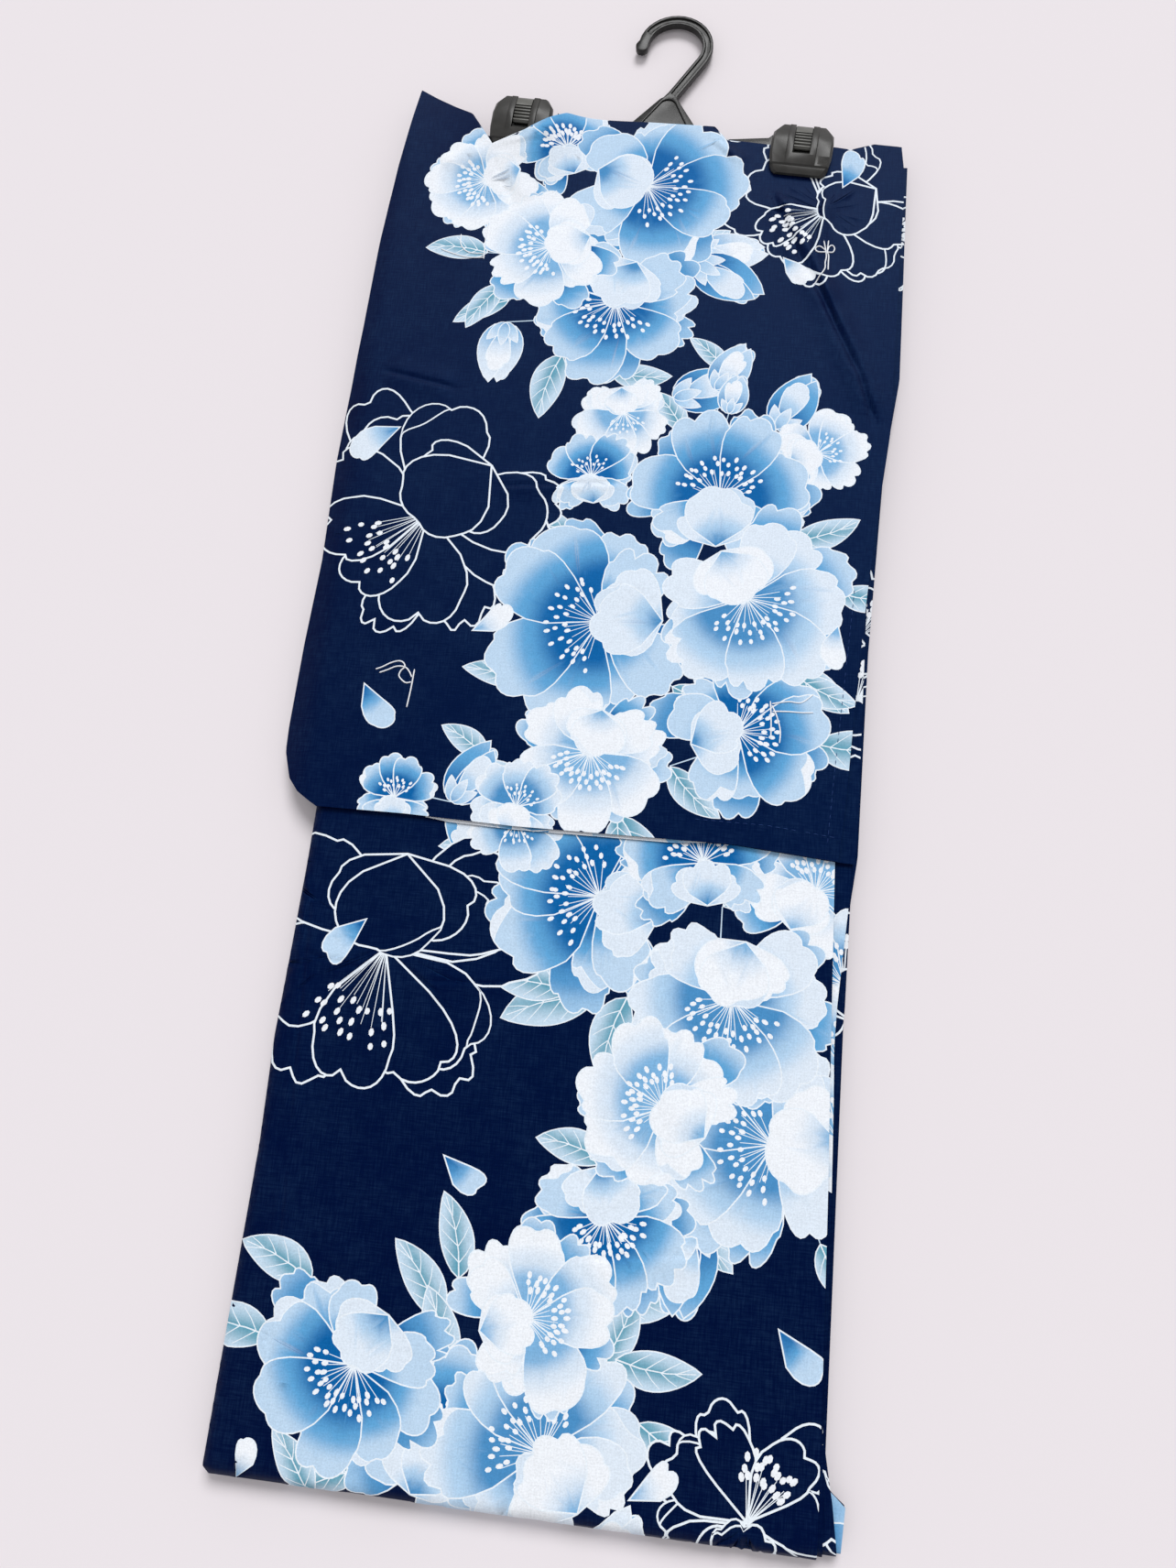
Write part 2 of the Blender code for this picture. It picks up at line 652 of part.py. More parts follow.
def clip(side, x, opening, plastic, slider_plastic, parent):
    """One clip: a back jaw on the table, a front jaw hinged over it, and its locking slider."""
    floor = [[(w, y, CLIP_BASE), (w, y, h), (-w, y, h), (-w, y, CLIP_BASE)] for y, w, h in BACK_JAW]
    back = add_object(f"{side}_clip_back_jaw", loft("back_jaw", floor), plastic, parent, (x, 0, 0))
    hinge_height = CLIP_BASE + STACK_AT_CLIPS + RELIEF
    for index, low in enumerate(LUG_STARTS):
        lug_mesh = block("lug", (low, HINGE_Y - LUG_REACH, LUG_FOOT),
                         (low + LUG_WIDTH, HINGE_Y + LUG_REACH, hinge_height - GAP))
        lug = add_object(f"{side}_clip_lug_{index + 1}", lug_mesh, None, parent, (x, 0, 0))
        combine(back, lug, "UNION")

    angle = -asin(opening / (HINGE_Y - BITE_Y))
    mesh = loft("front_jaw", [front_jaw_section(row) for row in FRONT_JAW])
    front = add_object(f"{side}_clip_front_jaw", mesh, plastic, parent,
                       (x, HINGE_Y, hinge_height), (angle, 0, 0))
    slot_mesh = block("slot", (-SLOT_HALF, SLOT_END - HINGE_Y, SLOT_FLOOR - RELIEF), (SLOT_HALF, 20, 12))
    combine(front, add_object(f"{side}_clip_slot_cutter", slot_mesh, None, front), "DIFFERENCE")

    profile = slider_profile()
    faces = [[(end * SLIDER_HALF, y, z) for y, z in profile] for end in (-1, 1)]
    add_object(f"{side}_clip_slider", loft("slider", faces), slider_plastic, front)


# ---------------------------------------------------------------- assembly
def main():
    for obj in list(bpy.data.objects):
        bpy.data.objects.remove(obj, do_unlink=True)

    navy = plain_material("navy_cotton", (0.008, 0.014, 0.060), 0.85, sheen=0.2)
    plastic = plain_material("black_plastic", (0.020, 0.020, 0.021), 0.42)
    slider_plastic = plain_material("slider_plastic", (0.035, 0.035, 0.037), 0.38)

    garment = add_object("garment", None, None, None, (-ORIGIN_X, -ORIGIN_Y, 0))
    body_panel("left_body_panel", LEFT_BACK, LEFT_FRONT, 0, navy, garment)
    body_panel("right_body_panel", RIGHT_FRONT, RIGHT_BACK, 2, navy, garment)
    folded_core(navy, garment)
    left_sleeve(navy, garment)

    hanger = add_object("hanger", None, None, garment, (HANGER_X, HANGER_Y, 0), (0, 0, HANGER_TURN))
    hanger_frame(plastic, hanger)
    clip("left", -CLIP_X, 0.0, plastic, slider_plastic, hanger)
    clip("right", CLIP_X, OPEN_LIFT, plastic, slider_plastic, hanger)


main()
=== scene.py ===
"""Looks of a new cotton yukata robe, folded and laid flat in its two-clip hanger.

The cloth is built as thin shells on the form of the CAD solids. Its print is a layout of
ordinary peonies, buds and leaves made by rule: every motif is a closed outline, all of them
are triangulated together with the cloth, and the topmost motif colours each triangle.

Lengths are in millimetres from the middle of the near fold, X to the right and Y to the
hanger, as the solids were designed; ORIGIN turns them into the frame's metres.
"""

import random
from collections import namedtuple
from math import atan2, ceil, cos, hypot, pi, radians, sin

import bmesh
import bpy
import numpy as np
from mathutils import Matrix, Vector
from mathutils.bvhtree import BVHTree
from mathutils.geometry import delaunay_2d_cdt

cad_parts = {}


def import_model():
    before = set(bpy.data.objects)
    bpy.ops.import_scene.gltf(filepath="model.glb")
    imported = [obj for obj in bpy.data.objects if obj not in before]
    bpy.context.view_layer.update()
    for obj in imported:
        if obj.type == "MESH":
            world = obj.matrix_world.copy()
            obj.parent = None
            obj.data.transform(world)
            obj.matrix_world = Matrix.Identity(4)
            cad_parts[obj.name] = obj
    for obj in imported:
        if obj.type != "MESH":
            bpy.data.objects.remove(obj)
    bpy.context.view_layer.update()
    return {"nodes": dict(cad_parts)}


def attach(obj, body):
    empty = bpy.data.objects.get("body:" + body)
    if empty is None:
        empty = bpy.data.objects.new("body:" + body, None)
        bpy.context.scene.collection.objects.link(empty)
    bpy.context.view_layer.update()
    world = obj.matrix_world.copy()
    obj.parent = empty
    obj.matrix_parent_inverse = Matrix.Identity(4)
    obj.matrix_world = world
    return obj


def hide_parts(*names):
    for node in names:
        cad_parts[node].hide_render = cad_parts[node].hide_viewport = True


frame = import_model()

MM = 0.001
ORIGIN = (-3.7, 456.7)      # middle of the part's box

# ---------------------------------------------------------------- the folded form
Ramp = namedtuple("Ramp", "start run")  # a smooth change: where it starts and its length

WALL = 1.0                  # thickness of one layer of cloth in the solids
GAP = 0.3                   # space between layers
PITCH = WALL + GAP
HALF = WALL / 2
CLOTH = 0.7                 # thickness of the shells shown
STACK = 13.0                # height of the folded body
STACK_AT_FOLD = 12.6
STACK_AT_CLIPS = 12.0
STACK_GROWS = Ramp(0.0, 150.0)      # along Y, behind the near fold
STACK_SINKS = Ramp(695.0, 80.0)     # and before the clips
EDGE_SLUMP = 0.5            # how far the loose layers at the right edge sink
EDGE_SLUMPS = Ramp(100.0, 60.0)     # along X
EDGE_X = 150.0              # about where the folded body ends, left and right
HEM_Y = 765.0               # where the hem of the outermost layer ends, underneath
HEM_STEP = 3.0              # each layer inside ends this much sooner
FOLD_RUN = 15.0             # underneath, a layer's run is this much more than its Y
FOLD_Y_LEFT = -2.4          # the near fold is a little askew
FOLD_Y_RIGHT = -5.3
FOLD_HALF_WIDTH = 152.0
BACK_ROLL = 1.8             # radius of the centre back fold
ROLL_OPENS = Ramp(740.0, 40.0)      # the centre back fold opens out
LEAST_ANGLE = 1e-4          # keeps a roll's angle from being 0
FRONT_INSET = 2.4           # the front panels stop this far inside the centre back fold
SHOULDER_Y = 800.0
SHOULDER_INSET = 1.5        # the outer pair of panels stops this far inside the shoulder's edge
SHOULDER_STEP = 2.0         # and the inner pair this much sooner
SLIPPED = {"left_front": 1.5, "right_front": 1.2}   # edges that have slipped out,
SLIP_FROM = Ramp(72.0, 30.0)                        # between these places of the run
SLIP_TO = Ramp(240.0, -30.0)

CORE_STEPS = (149.0, 145.0, 151.0)   # right edges of the three bundles of hidden layers
CORE_INSET = 4.6            # they stay this far inside the centre back
CORE_END = 12.0             # and inside the hem
CORE_NEAR = 1.0             # and this far past the near fold's start
CORE_CORNER = 3.0           # their near right corner is taken back by this,
CORE_CORNER_RUN = 12.0      # over this length
CORE_CLEAR = 0.02           # room left beside the panels, above and below each bundle
CORE_CLEAR_ABOVE = 0.06
CORE_CLEAR_BELOW = 0.04

SLEEVE_FOOT = 342.0         # nominal ends of the sleeve's length along Y
SLEEVE_HEAD = 820.0
CUFF_LIFT = 1.2             # how far the open cuff parts
CUFF_FADE = 18.0            # which fades this fast across the sleeve
CUFF_OPENS = Ramp(612.0, 30.0)
CUFF_CLOSES = Ramp(840.0, -40.0)
TOP_BENDS = Ramp(740.0, 80.0)       # the sleeve's ends bend their nominal lines
HEM_BENDS = Ramp(420.0, -78.0)
ONE_EDGE_Y = 805.0          # from here both layers share the sleeve's open edge
HEM_PEEP = 1.6              # how far the lower layer shows below the upper at the sleeve's hem
PEEP_FROM = Ramp(-95.0, 25.0)
PEEP_TO = Ramp(75.0, -25.0)
RIDE_X = -69.0              # the sleeve rides over the left clip's corner here
RIDE_HEIGHT = 8.2
RIDE_SPREAD_LEFT = 38.0
RIDE_SPREAD_RIGHT = 22.0
RIDE_STARTS = Ramp(758.0, 60.0)
REST_LEFT = -159.0          # beyond these lines nothing lies under the sleeve
REST_RIGHT = 161.0
REST_TOP = 822.0
DROOP_LEFT = 2.2            # how far it has fallen after the first 10 mm past each of them
DROOP_RIGHT = 1.0
DROOP_TOP = 0.35
DROOP_CURVE = 1.5
FOLDS_FADE = Ramp(774.0, -16.0)     # the ridges die out at the right clip's bite
NOTCH_STARTS = Ramp(1.5, 7.0)       # and those at the notch just inside the top edge
LOWEST_DIP = -0.3           # creases don't reach the sleeve's lower layer

EdgeRow = namedtuple("EdgeRow", "y centre_back left_back left_front right_front right_back")
BODY_EDGES = (              # left edge, then the right edge of each layer, outermost first
    EdgeRow(0, -157.6, 148.3, 151.0, 157.8, 160.0),
    EdgeRow(21, -157.2, 148.1, 150.2, 154.8, 161.5),
    EdgeRow(25, -157.1, 148.0, 150.0, 153.9, 152.0),
    EdgeRow(52, -156.6, 147.7, 148.6, 148.8, 147.0),
    EdgeRow(79, -156.0, 147.4, 147.8, 147.5, 146.0),
    EdgeRow(158, -154.3, 146.2, 146.7, 147.2, 145.0),
    EdgeRow(215, -155.4, 144.8, 145.5, 148.6, 145.0),
    EdgeRow(258, -153.8, 143.8, 146.8, 151.1, 146.0),
    EdgeRow(314, -152.2, 142.6, 150.8, 151.7, 147.0),
    EdgeRow(340, -152.0, 142.0, 151.9, 154.7, 148.0),
    EdgeRow(460, -151.5, 147.0, 153.0, 156.0, 150.0),
    EdgeRow(580, -151.0, 155.0, 157.0, 161.0, 154.0),
    EdgeRow(640, -150.8, 158.5, 160.5, 168.5, 157.0),
    EdgeRow(800, -150.5, 159.0, 161.0, 169.0, 158.0),
)
Point = namedtuple("Point", "x y")
SHOULDER = (                # top edge of the folded body
    Point(-160, 813), Point(-50, 813), Point(80, 809.5), Point(130, 803), Point(170, 801),
)
SLEEVE_TOP = (              # the sleeve's own fold, notched where it rides over the left clip
    Point(-156.6, 843.9), Point(-145.0, 836.8), Point(-131.5, 829.6), Point(-119.6, 824.0),
    Point(-103.0, 798.8), Point(-81.0, 807.0), Point(-54.6, 822.4), Point(-5.7, 821.8),
    Point(42.7, 819.7), Point(50.5, 809.8), Point(80.4, 806.5), Point(119.0, 806.4),
    Point(132.0, 804.7), Point(146.7, 809.5), Point(164.2, 808.0),
)
SLEEVE_BOTTOM = (
    Point(-177, 344.0), Point(-101, 343.6), Point(-37, 341.3), Point(86, 340.9),
    Point(143.5, 335.9), Point(154, 335.4),
)
SleeveRow = namedtuple("SleeveRow", "y left outer_right inner_right")
SLEEVE_EDGES = (            # cuff side, then the open side of the upper and lower layer
    SleeveRow(342, -151.4, 143.5, 152.4),
    SleeveRow(349, -163.1, 144.2, 153.2),
    SleeveRow(358, -170.4, 145.0, 153.4),
    SleeveRow(375, -175.9, 146.4, 153.5),
    SleeveRow(391, -176.4, 147.3, 153.5),
    SleeveRow(443, -175.3, 150.0, 153.5),
    SleeveRow(497, -172.5, 153.6, 153.6),
    SleeveRow(564, -173.8, 159.6, 157.0),
    SleeveRow(600, -172.4, 163.3, 161.0),
    SleeveRow(660, -169.8, 164.2, 162.4),
    SleeveRow(723, -168.0, 165.7, 163.4),
    SleeveRow(750, -166.1, 166.2, 163.8),
    SleeveRow(772, -163.8, 166.6, 164.2),
    SleeveRow(789, -160.9, 166.8, 164.4),
    SleeveRow(805, -158.6, 165.8, 164.0),
    SleeveRow(820, -156.6, 164.2, 163.4),
)
Fold = namedtuple("Fold", "x0 y0 x1 y1 width height")
SLEEVE_FOLDS = (            # the solid's ridges, pressed up a little higher
    Fold(82, 780, 101.3, 733.5, 7.5, 2.6),
    Fold(95.5, 746.2, 126.5, 682.8, 8.5, 3.1),
    Fold(118.3, 702.1, 157, 603, 8.5, 2.6),
    Fold(119, 780, 113, 716, 6.5, 1.7),
    Fold(-154, 627, -103, 616, 9, 1.3),
    Fold(-78, 550, 11, 558, 8, 1.3),
)
FINE_FOLDS = (              # lower ridges between them
    Fold(101, 734, 130, 668, 3.0, 0.7),
    Fold(118, 775, 113, 718, 2.2, 0.5),
    Fold(-76, 549, 14, 557, 2.6, 0.5),
    Fold(-4, 799, 44, 765, 4.0, 0.5),
    Fold(-103, 797, -70, 795, 4.0, 0.5),
    Fold(-150, 740, -96, 700, 7.0, 0.4),
    Fold(-40, 500, 60, 482, 9.0, 0.3),
    Fold(-150, 470, -60, 440, 8.0, 0.3),
    Fold(20, 620, 70, 590, 7.0, 0.3),
)
BODY_FOLDS = (
    Fold(-146, 307, -137, 159, 6.0, 0.7),
    Fold(-137, 159, -128, 27, 6.0, 0.7),
    Fold(-150, 264, -92, 252, 7.0, 0.8),
    Fold(-92, 252, -27, 255, 7.0, 0.6),
    Fold(-60, 128, 40, 150, 10.0, 0.5),
    Fold(20, 116, 90, 126, 7.0, 0.6),
    Fold(30, 230, 120, 150, 10.0, 0.5),
    Fold(-120, 120, -40, 60, 9.0, 0.5),
)
SLEEVE_CREASES = (          # sharp lines pressed in beside the ridges
    Fold(79, 780, 98.4, 732.3, 2.4, -2.2),
    Fold(92.6, 745, 123.6, 681.6, 2.6, -2.7),
    Fold(116.6, 696.2, 146.6, 632.6, 2.6, -2.3),
    Fold(142.3, 643.8, 155, 601, 2.4, -1.8),
    Fold(103, 733, 130, 668, 1.8, -1.5),
    Fold(116.5, 781, 110.5, 716, 2.0, -1.5),
    Fold(-78, 550, 11, 558, 2.0, -1.2),
    Fold(-156, 628, -100, 616, 2.0, -1.2),
    Fold(-4, 799, 44, 765, 1.6, -0.5),
    Fold(40, 700, 84, 742, 1.6, -0.4),
)
NOTCH_FOLDS = (             # where the sleeve folds up over the left clip
    Fold(-98, 802, -58, 813, 6.0, 1.7),
    Fold(-104, 795, -60, 800, 2.6, -1.3),
    Fold(-108, 797, -136, 782, 6.0, 1.5),
    Fold(-104, 791, -130, 765, 2.2, -1.3),
    Fold(-92, 786, -74, 756, 6.0, 1.4),
    Fold(-101, 789, -84, 757, 2.0, -1.2),
    Fold(36, 812, 58, 790, 2.2, -1.1),
    Fold(43, 813, 66, 790, 5.0, 1.5),
)
BODY_CREASES = (
    Fold(-148, 307, -139, 159, 1.4, -0.5),
    Fold(-139, 159, -130, 27, 1.4, -0.5),
    Fold(-150, 262, -92, 251, 1.6, -0.5),
    Fold(-92, 251, -28, 254, 1.6, -0.4),
    Fold(20, 118, 88, 128, 1.6, -0.4),
)
UNDER_FOLDS = (             # the same kind of creases on the side that lies down
    Fold(-120, -640, -20, -560, 8.0, -0.3),
    Fold(40, -420, 110, -330, 8.0, -0.3),
)


def ease(share):
    """Smooth step from 0 to 1."""
    share = np.clip(share, 0.0, 1.0)
    return share * share * (3 - 2 * share)


def passed(ramp, value):
    """How much of a ramp a value has passed, 0 to 1; with a negative run it falls as values grow."""
    return ease((value - ramp.start) / ramp.run)


def mix(a, b, share):
    """A value between two."""
    return a + (b - a) * share


def look_up(rows, value, key, column):
    """Straight-line reading of a table's column at values of its key column."""
    keys = [getattr(row, key) for row in rows]
    return np.interp(value, keys, [getattr(row, column) for row in rows])


def rise_along(folds, x, y):
    """Height of soft ridges, or depth of creases, along lines that fade at both ends."""
    rise = 0.0
    for fold in folds:
        run = (fold.x1 - fold.x0, fold.y1 - fold.y0)
        share = ((x - fold.x0) * run[0] + (y - fold.y0) * run[1]) / (run[0] ** 2 + run[1] ** 2)
        share = np.clip(share, 0.0, 1.0)
        away = np.hypot(x - fold.x0 - share * run[0], y - fold.y0 - share * run[1])
        ridge = fold.height * np.exp(-((away / fold.width) ** 2))
        rise = rise + ridge * ease(4 * share) * ease(4 - 4 * share)
    return rise


def world(x, y, z):
    """A place in the frame's metres."""
    return (x - ORIGIN[0]) * MM, (y - ORIGIN[1]) * MM, z * MM


def stack_top(x, y):
    """Height of the folded body's upper side."""
    height = mix(STACK_AT_FOLD, STACK, passed(STACK_GROWS, y))
    height -= (STACK - STACK_AT_CLIPS) * passed(STACK_SINKS, y)
    return height - EDGE_SLUMP * passed(EDGE_SLUMPS, x)


def fold_edge(x):
    """Y of the near fold's outermost line."""
    return mix(FOLD_Y_LEFT, FOLD_Y_RIGHT, (x / FOLD_HALF_WIDTH + 1) / 2)


def shoulder_edge(x, margin):
    """Y of a line that runs inside the shoulder's edge."""
    return look_up(SHOULDER, x, "x", "y") - margin


Layer = namedtuple("Layer", "column depth roll")
LEFT_BACK = Layer("left_back", HALF, 1)
LEFT_FRONT = Layer("left_front", HALF + PITCH, 0)
RIGHT_FRONT = Layer("right_front", HALF + 2 * PITCH, 0)
RIGHT_BACK = Layer("right_back", HALF + 3 * PITCH, -1)


def fold_start(x):
    """Y on the upper side where the near fold begins, and the length round the fold."""
    radius = stack_top(x, 0) / 2
    return fold_edge(x) + radius, pi * radius


def height_along(x, v):
    """The nominal Y of a place at run v: on top, and again underneath."""
    start, turn = fold_start(x)
    return np.where(v >= start, v, np.maximum(2 * start - turn - v, 0.0))


def layer_point(layer, x, v, skin, relief=0.0):
    """A point of a layer: x across it, v along it from the near fold, skin from its middle.

    Positive v lies on the upper side. The cloth turns at the near fold and goes back
    underneath at negative v. At the centre back the two back panels roll together.
    """
    left = look_up(BODY_EDGES, height_along(x, v), "y", "centre_back") + BACK_ROLL
    past = np.maximum(left - x, 0.0) * abs(layer.roll)
    closed = 1 - passed(ROLL_OPENS, v)
    angle = np.minimum(past / BACK_ROLL, pi / 2) * closed + LEAST_ANGLE
    radius = past / angle
    depth = layer.depth + layer.roll * radius * (1 - np.cos(angle)) + skin * np.cos(angle)
    x = x + past - radius * np.sin(angle) + skin * layer.roll * np.sin(angle)
    radius = stack_top(x, 0) / 2
    start, turn = fold_start(x)
    angle = pi / 2 - np.clip((start - v) / radius, 0.0, pi)
    reach = radius - depth + relief
    top, under = v >= start, v <= start - turn
    y = np.where(top, v, np.where(under, 2 * start - turn - v, start - reach * np.cos(angle)))
    z = np.where(top, stack_top(x, v) - depth + relief,
                 np.where(under, depth - relief, radius + reach * np.sin(angle)))
    return x, y, z


# ---------------------------------------------------------------- colours of the print
def srgb(red, green, blue):
    """Linear colour of an 8-bit screen colour."""
    values = (red / 255, green / 255, blue / 255)
    return tuple(v / 12.92 if v <= 0.04045 else ((v + 0.055) / 1.055) ** 2.4 for v in values)


def tint(a, b, share):
    """A colour between two, or one for each share of an array."""
    share = np.asarray(share)[..., None]
    return np.asarray(a) * (1 - share) + np.asarray(b) * share


NAVY = srgb(0, 4, 46)
THREAD_NAVY = srgb(40, 58, 108)
LINE = srgb(240, 248, 255)
WHITE = srgb(246, 250, 255)
PALE = srgb(180, 213, 241)
SKY = srgb(98, 168, 218)
DEEP = srgb(12, 98, 166)
DOT = srgb(250, 252, 255)
LEAF_PALE = srgb(204, 226, 243)
LEAF_DARK = srgb(98, 162, 184)
WRONG_SIDE = tint(NAVY, PALE, 0.006)

Tone = namedtuple("Tone", "heart middle rim")
TONES = {
    "deep": Tone(DEEP, tint(DEEP, SKY, 0.7), tint(SKY, PALE, 0.7)),
    "blue": Tone(DEEP, SKY, tint(PALE, WHITE, 0.2)),
    "pale": Tone(tint(DEEP, SKY, 0.6), PALE, tint(PALE, WHITE, 0.7)),
    "white": Tone(tint(SKY, PALE, 0.3), tint(PALE, WHITE, 0.6), WHITE),
    "line": Tone(NAVY, NAVY, NAVY),
}


def three_tones(tone, share):
    """A petal's colour from its heart, by its middle, to its rim."""
    near = tint(tone.heart, tone.middle, ease(share * 2))
    far = tint(tone.middle, tone.rim, ease(share * 2 - 1))
    return np.where((share < 0.5)[..., None], near, far)


# ---------------------------------------------------------------- motifs of the print
BORDER = 0.75               # width of the white line round a motif
OUTLINE_BORDER = 1.15       # and round the petals of an outline bloom
FINE_LINE = 0.55            # filaments and side veins
PETAL_FADE = 0.46           # share of a petal's length over which its colours run
SMALL_BLOOM = 32.0          # blooms of a smaller radius have fewer petals and stamens
TOP_RIM, UNDER_RIM = 24, 14  # points round a petal on the upper side and underneath

Stamens = namedtuple("Stamens", "reach count fan dot")
STAMENS = {
    "line": Stamens(0.46, 11, 0.5, 1.9),
    "small": Stamens(0.38, 8, 0.9, 1.0),
    "full": Stamens(0.38, 15, 1.25, 1.6),
}


def spot(base, turn, ahead, across=0.0):
    """The place at a distance ahead of a base in a direction, and across it."""
    return (base[0] + ahead * cos(turn) - across * sin(turn),
            base[1] + ahead * sin(turn) + across * cos(turn))


class Print:
    """A list of closed outlines in painter's order, each with its colour."""

    def __init__(self, seed):
        self.shapes = []
        self.dice = random.Random(seed)
        self.rim_count = TOP_RIM

    def shape(self, outline, colour):
        """An outline with one colour, or with a function that shades it."""
        self.shapes.append((outline, colour))

    def bordered(self, outline, colour, border):
        """A shape with a thin white line round it, as resist-printed motifs have."""
        self.shape(outline, LINE)
        self.shape(inset(outline, border), colour)

    def petal(self, base, angle, length, tone, spread=0.7, lobes=3, border=BORDER, lean=0.0,
              start=0.3, turned=0.0):
        """A broad petal with a scalloped rim, deepest at its base; part of its rim may turn over."""
        dice = self.dice
        count = self.rim_count
        phase, warp = dice.uniform(0, 1), dice.uniform(-0.35, 0.35)
        depth = dice.uniform(0.07, 0.15)
        rim = []
        for i in range(1, count):
            t = 2 * i / count - 1
            envelope = (1 - abs(t) ** 2.8) ** 0.5
            place = t + warp * (1 - t * t)
            wave = abs(sin(pi * (lobes * (place + 1) / 2 + phase))) ** 0.5
            reach = length * envelope * (1 - depth * (1 - wave) * (1 - t ** 4))
            rim.append(spot(base, angle + spread * t + lean * reach / length, reach))
        start += dice.uniform(-0.06, 0.06)
        side = dice.uniform(-0.45, 0.45)

        def colour(x, y):
            dx, dy = x - base[0], y - base[1]
            share = (np.hypot(dx, dy) / length - start) / PETAL_FADE
            across = (dy * cos(angle) - dx * sin(angle)) / length
            return three_tones(tone, np.clip(share + side * across, 0, 1))

        self.bordered([base, *rim], colour, border)
        if turned:
            self.turn_over(base, rim, turned, tone, border)

    def turn_over(self, base, rim, depth, tone, border):
        """A pale flap where a part of a petal's rim turns over towards its base."""
        middle = (len(rim) + 1) // 2
        low = self.dice.choice((2, middle - 1))
        part = rim[low:low + middle - 2]
        inner = []
        for k, point in enumerate(part):
            share = depth * sin(pi * k / (len(part) - 1))
            inner.append((mix(point[0], base[0], share), mix(point[1], base[1], share)))
        flap = NAVY if tone is TONES["line"] else tint(PALE, WHITE, self.dice.uniform(0.4, 1.0))
        self.bordered(part + inner[-2:0:-1], tuple(flap), border * 0.8)

    def stamens(self, centre, angle, length, kit):
        """A fan of fine filaments, with three rows of small anthers at their ends."""
        dice = self.dice
        for i in range(kit.count):
            turn = angle + kit.fan * (2 * i / (kit.count - 1) - 1) + dice.uniform(-0.06, 0.06)
            reach = length * dice.uniform(0.7, 1.0)
            self.stroke([spot(centre, turn, 0.08 * reach), spot(centre, turn, reach)], FINE_LINE, LINE)
        for i in range(2 * kit.count):
            turn = (angle + 1.05 * kit.fan * (2 * i / (2 * kit.count - 1) - 1)
                    + dice.uniform(-0.07, 0.07))
            reach = length * (0.8, 1.0, 1.2)[i % 3] * dice.uniform(0.94, 1.06)
            long = kit.dot * dice.uniform(1.0, 1.3)
            self.shape(ellipse(spot(centre, turn, reach), long, kit.dot * 0.78, turn, 7), WHITE)

    def stroke(self, path, width, colour):
        """A line that tapers a little to its end."""
        left, right = [], []
        for i, point in enumerate(path):
            before, after = path[max(i - 1, 0)], path[min(i + 1, len(path) - 1)]
            run = hypot(after[0] - before[0], after[1] - before[1]) or 1.0
            nx, ny = -(after[1] - before[1]) / run, (after[0] - before[0]) / run
            half = width / 2 * (1 - 0.4 * i / (len(path) - 1))
            left.append((point[0] + nx * half, point[1] + ny * half))
            right.append((point[0] - nx * half, point[1] - ny * half))
        self.shape(left + right[::-1], colour)

    def flower(self, x, y, radius, face, kind):
        """A peony seen from the side: back petals, stamens, then the petals in front."""
        face = radians(face)
        dice = self.dice
        line = kind == "line"
        small = radius < SMALL_BLOOM
        tone = TONES[kind]
        behind = tone if line else TONES["deep" if kind == "blue" else "blue"]
        cup = tone if line else TONES["pale" if kind == "blue" else "white"]
        border = OUTLINE_BORDER if line else BORDER

        def ring(offsets, size, spread, hue, base=(x, y), start=0.3, turned=0.0):
            for offset in offsets:
                self.petal(base, face + offset + dice.uniform(-0.12, 0.12),
                           radius * size * dice.uniform(0.9, 1.08), hue, border=border,
                           spread=spread * dice.uniform(0.88, 1.1), lobes=dice.choice((3, 3, 4, 5)),
                           lean=dice.uniform(-0.25, 0.25), start=start,
                           turned=turned if dice.random() < 0.6 else 0.0)

        if not small:
            ring((0.62, -0.58, 1.5, -1.6, 2.5), 1.0 if line else 1.04, 0.46, behind, start=0.5)
        ring((1.95, -1.9), 0.88, 0.64, tone, start=0.36, turned=0.16)
        ring((1.05, -1.1), 0.86 if line else 1.0, 0.7, tone, start=0.4, turned=0.14)
        ring((0.3, -0.38), 0.8 if line else 1.02, 0.6, tone, start=0.42)
        kit = STAMENS["line" if line else "small" if small else "full"]
        lean = dice.uniform(-0.3, 0.3) if line else 0.0
        self.stamens((x, y), face + lean, radius * kit.reach, kit)
        ring((pi - 0.75, pi + 0.8), 0.84, 0.66, tone, start=0.2, turned=0.18)
        low = spot((x, y), face, -0.56 * radius)
        ring((0.45, -0.5), 0.56, 0.95, cup, low, start=-0.1)
        ring((0.0,), 0.66, 1.05, cup, low, start=0.12, turned=0.14)

    def blade(self, base, angle, length, width, tone, border=0.7, start=0.1, bend=0.0):
        """A smooth pointed petal or sepal."""
        def edge(share, side):
            across = side * width * sin(pi * share ** 0.8) ** 0.75
            return spot(base, angle + bend * share, length * share, across)

        def colour(x, y):
            share = np.hypot(x - base[0], y - base[1]) / length - start
            return three_tones(tone, np.clip(share, 0, 1))

        steps = [i / 10 for i in range(1, 10)]
        back = [edge(s, -1) for s in reversed(steps)]
        self.bordered([base, *(edge(s, 1) for s in steps), edge(1, 0), *back], colour, border)

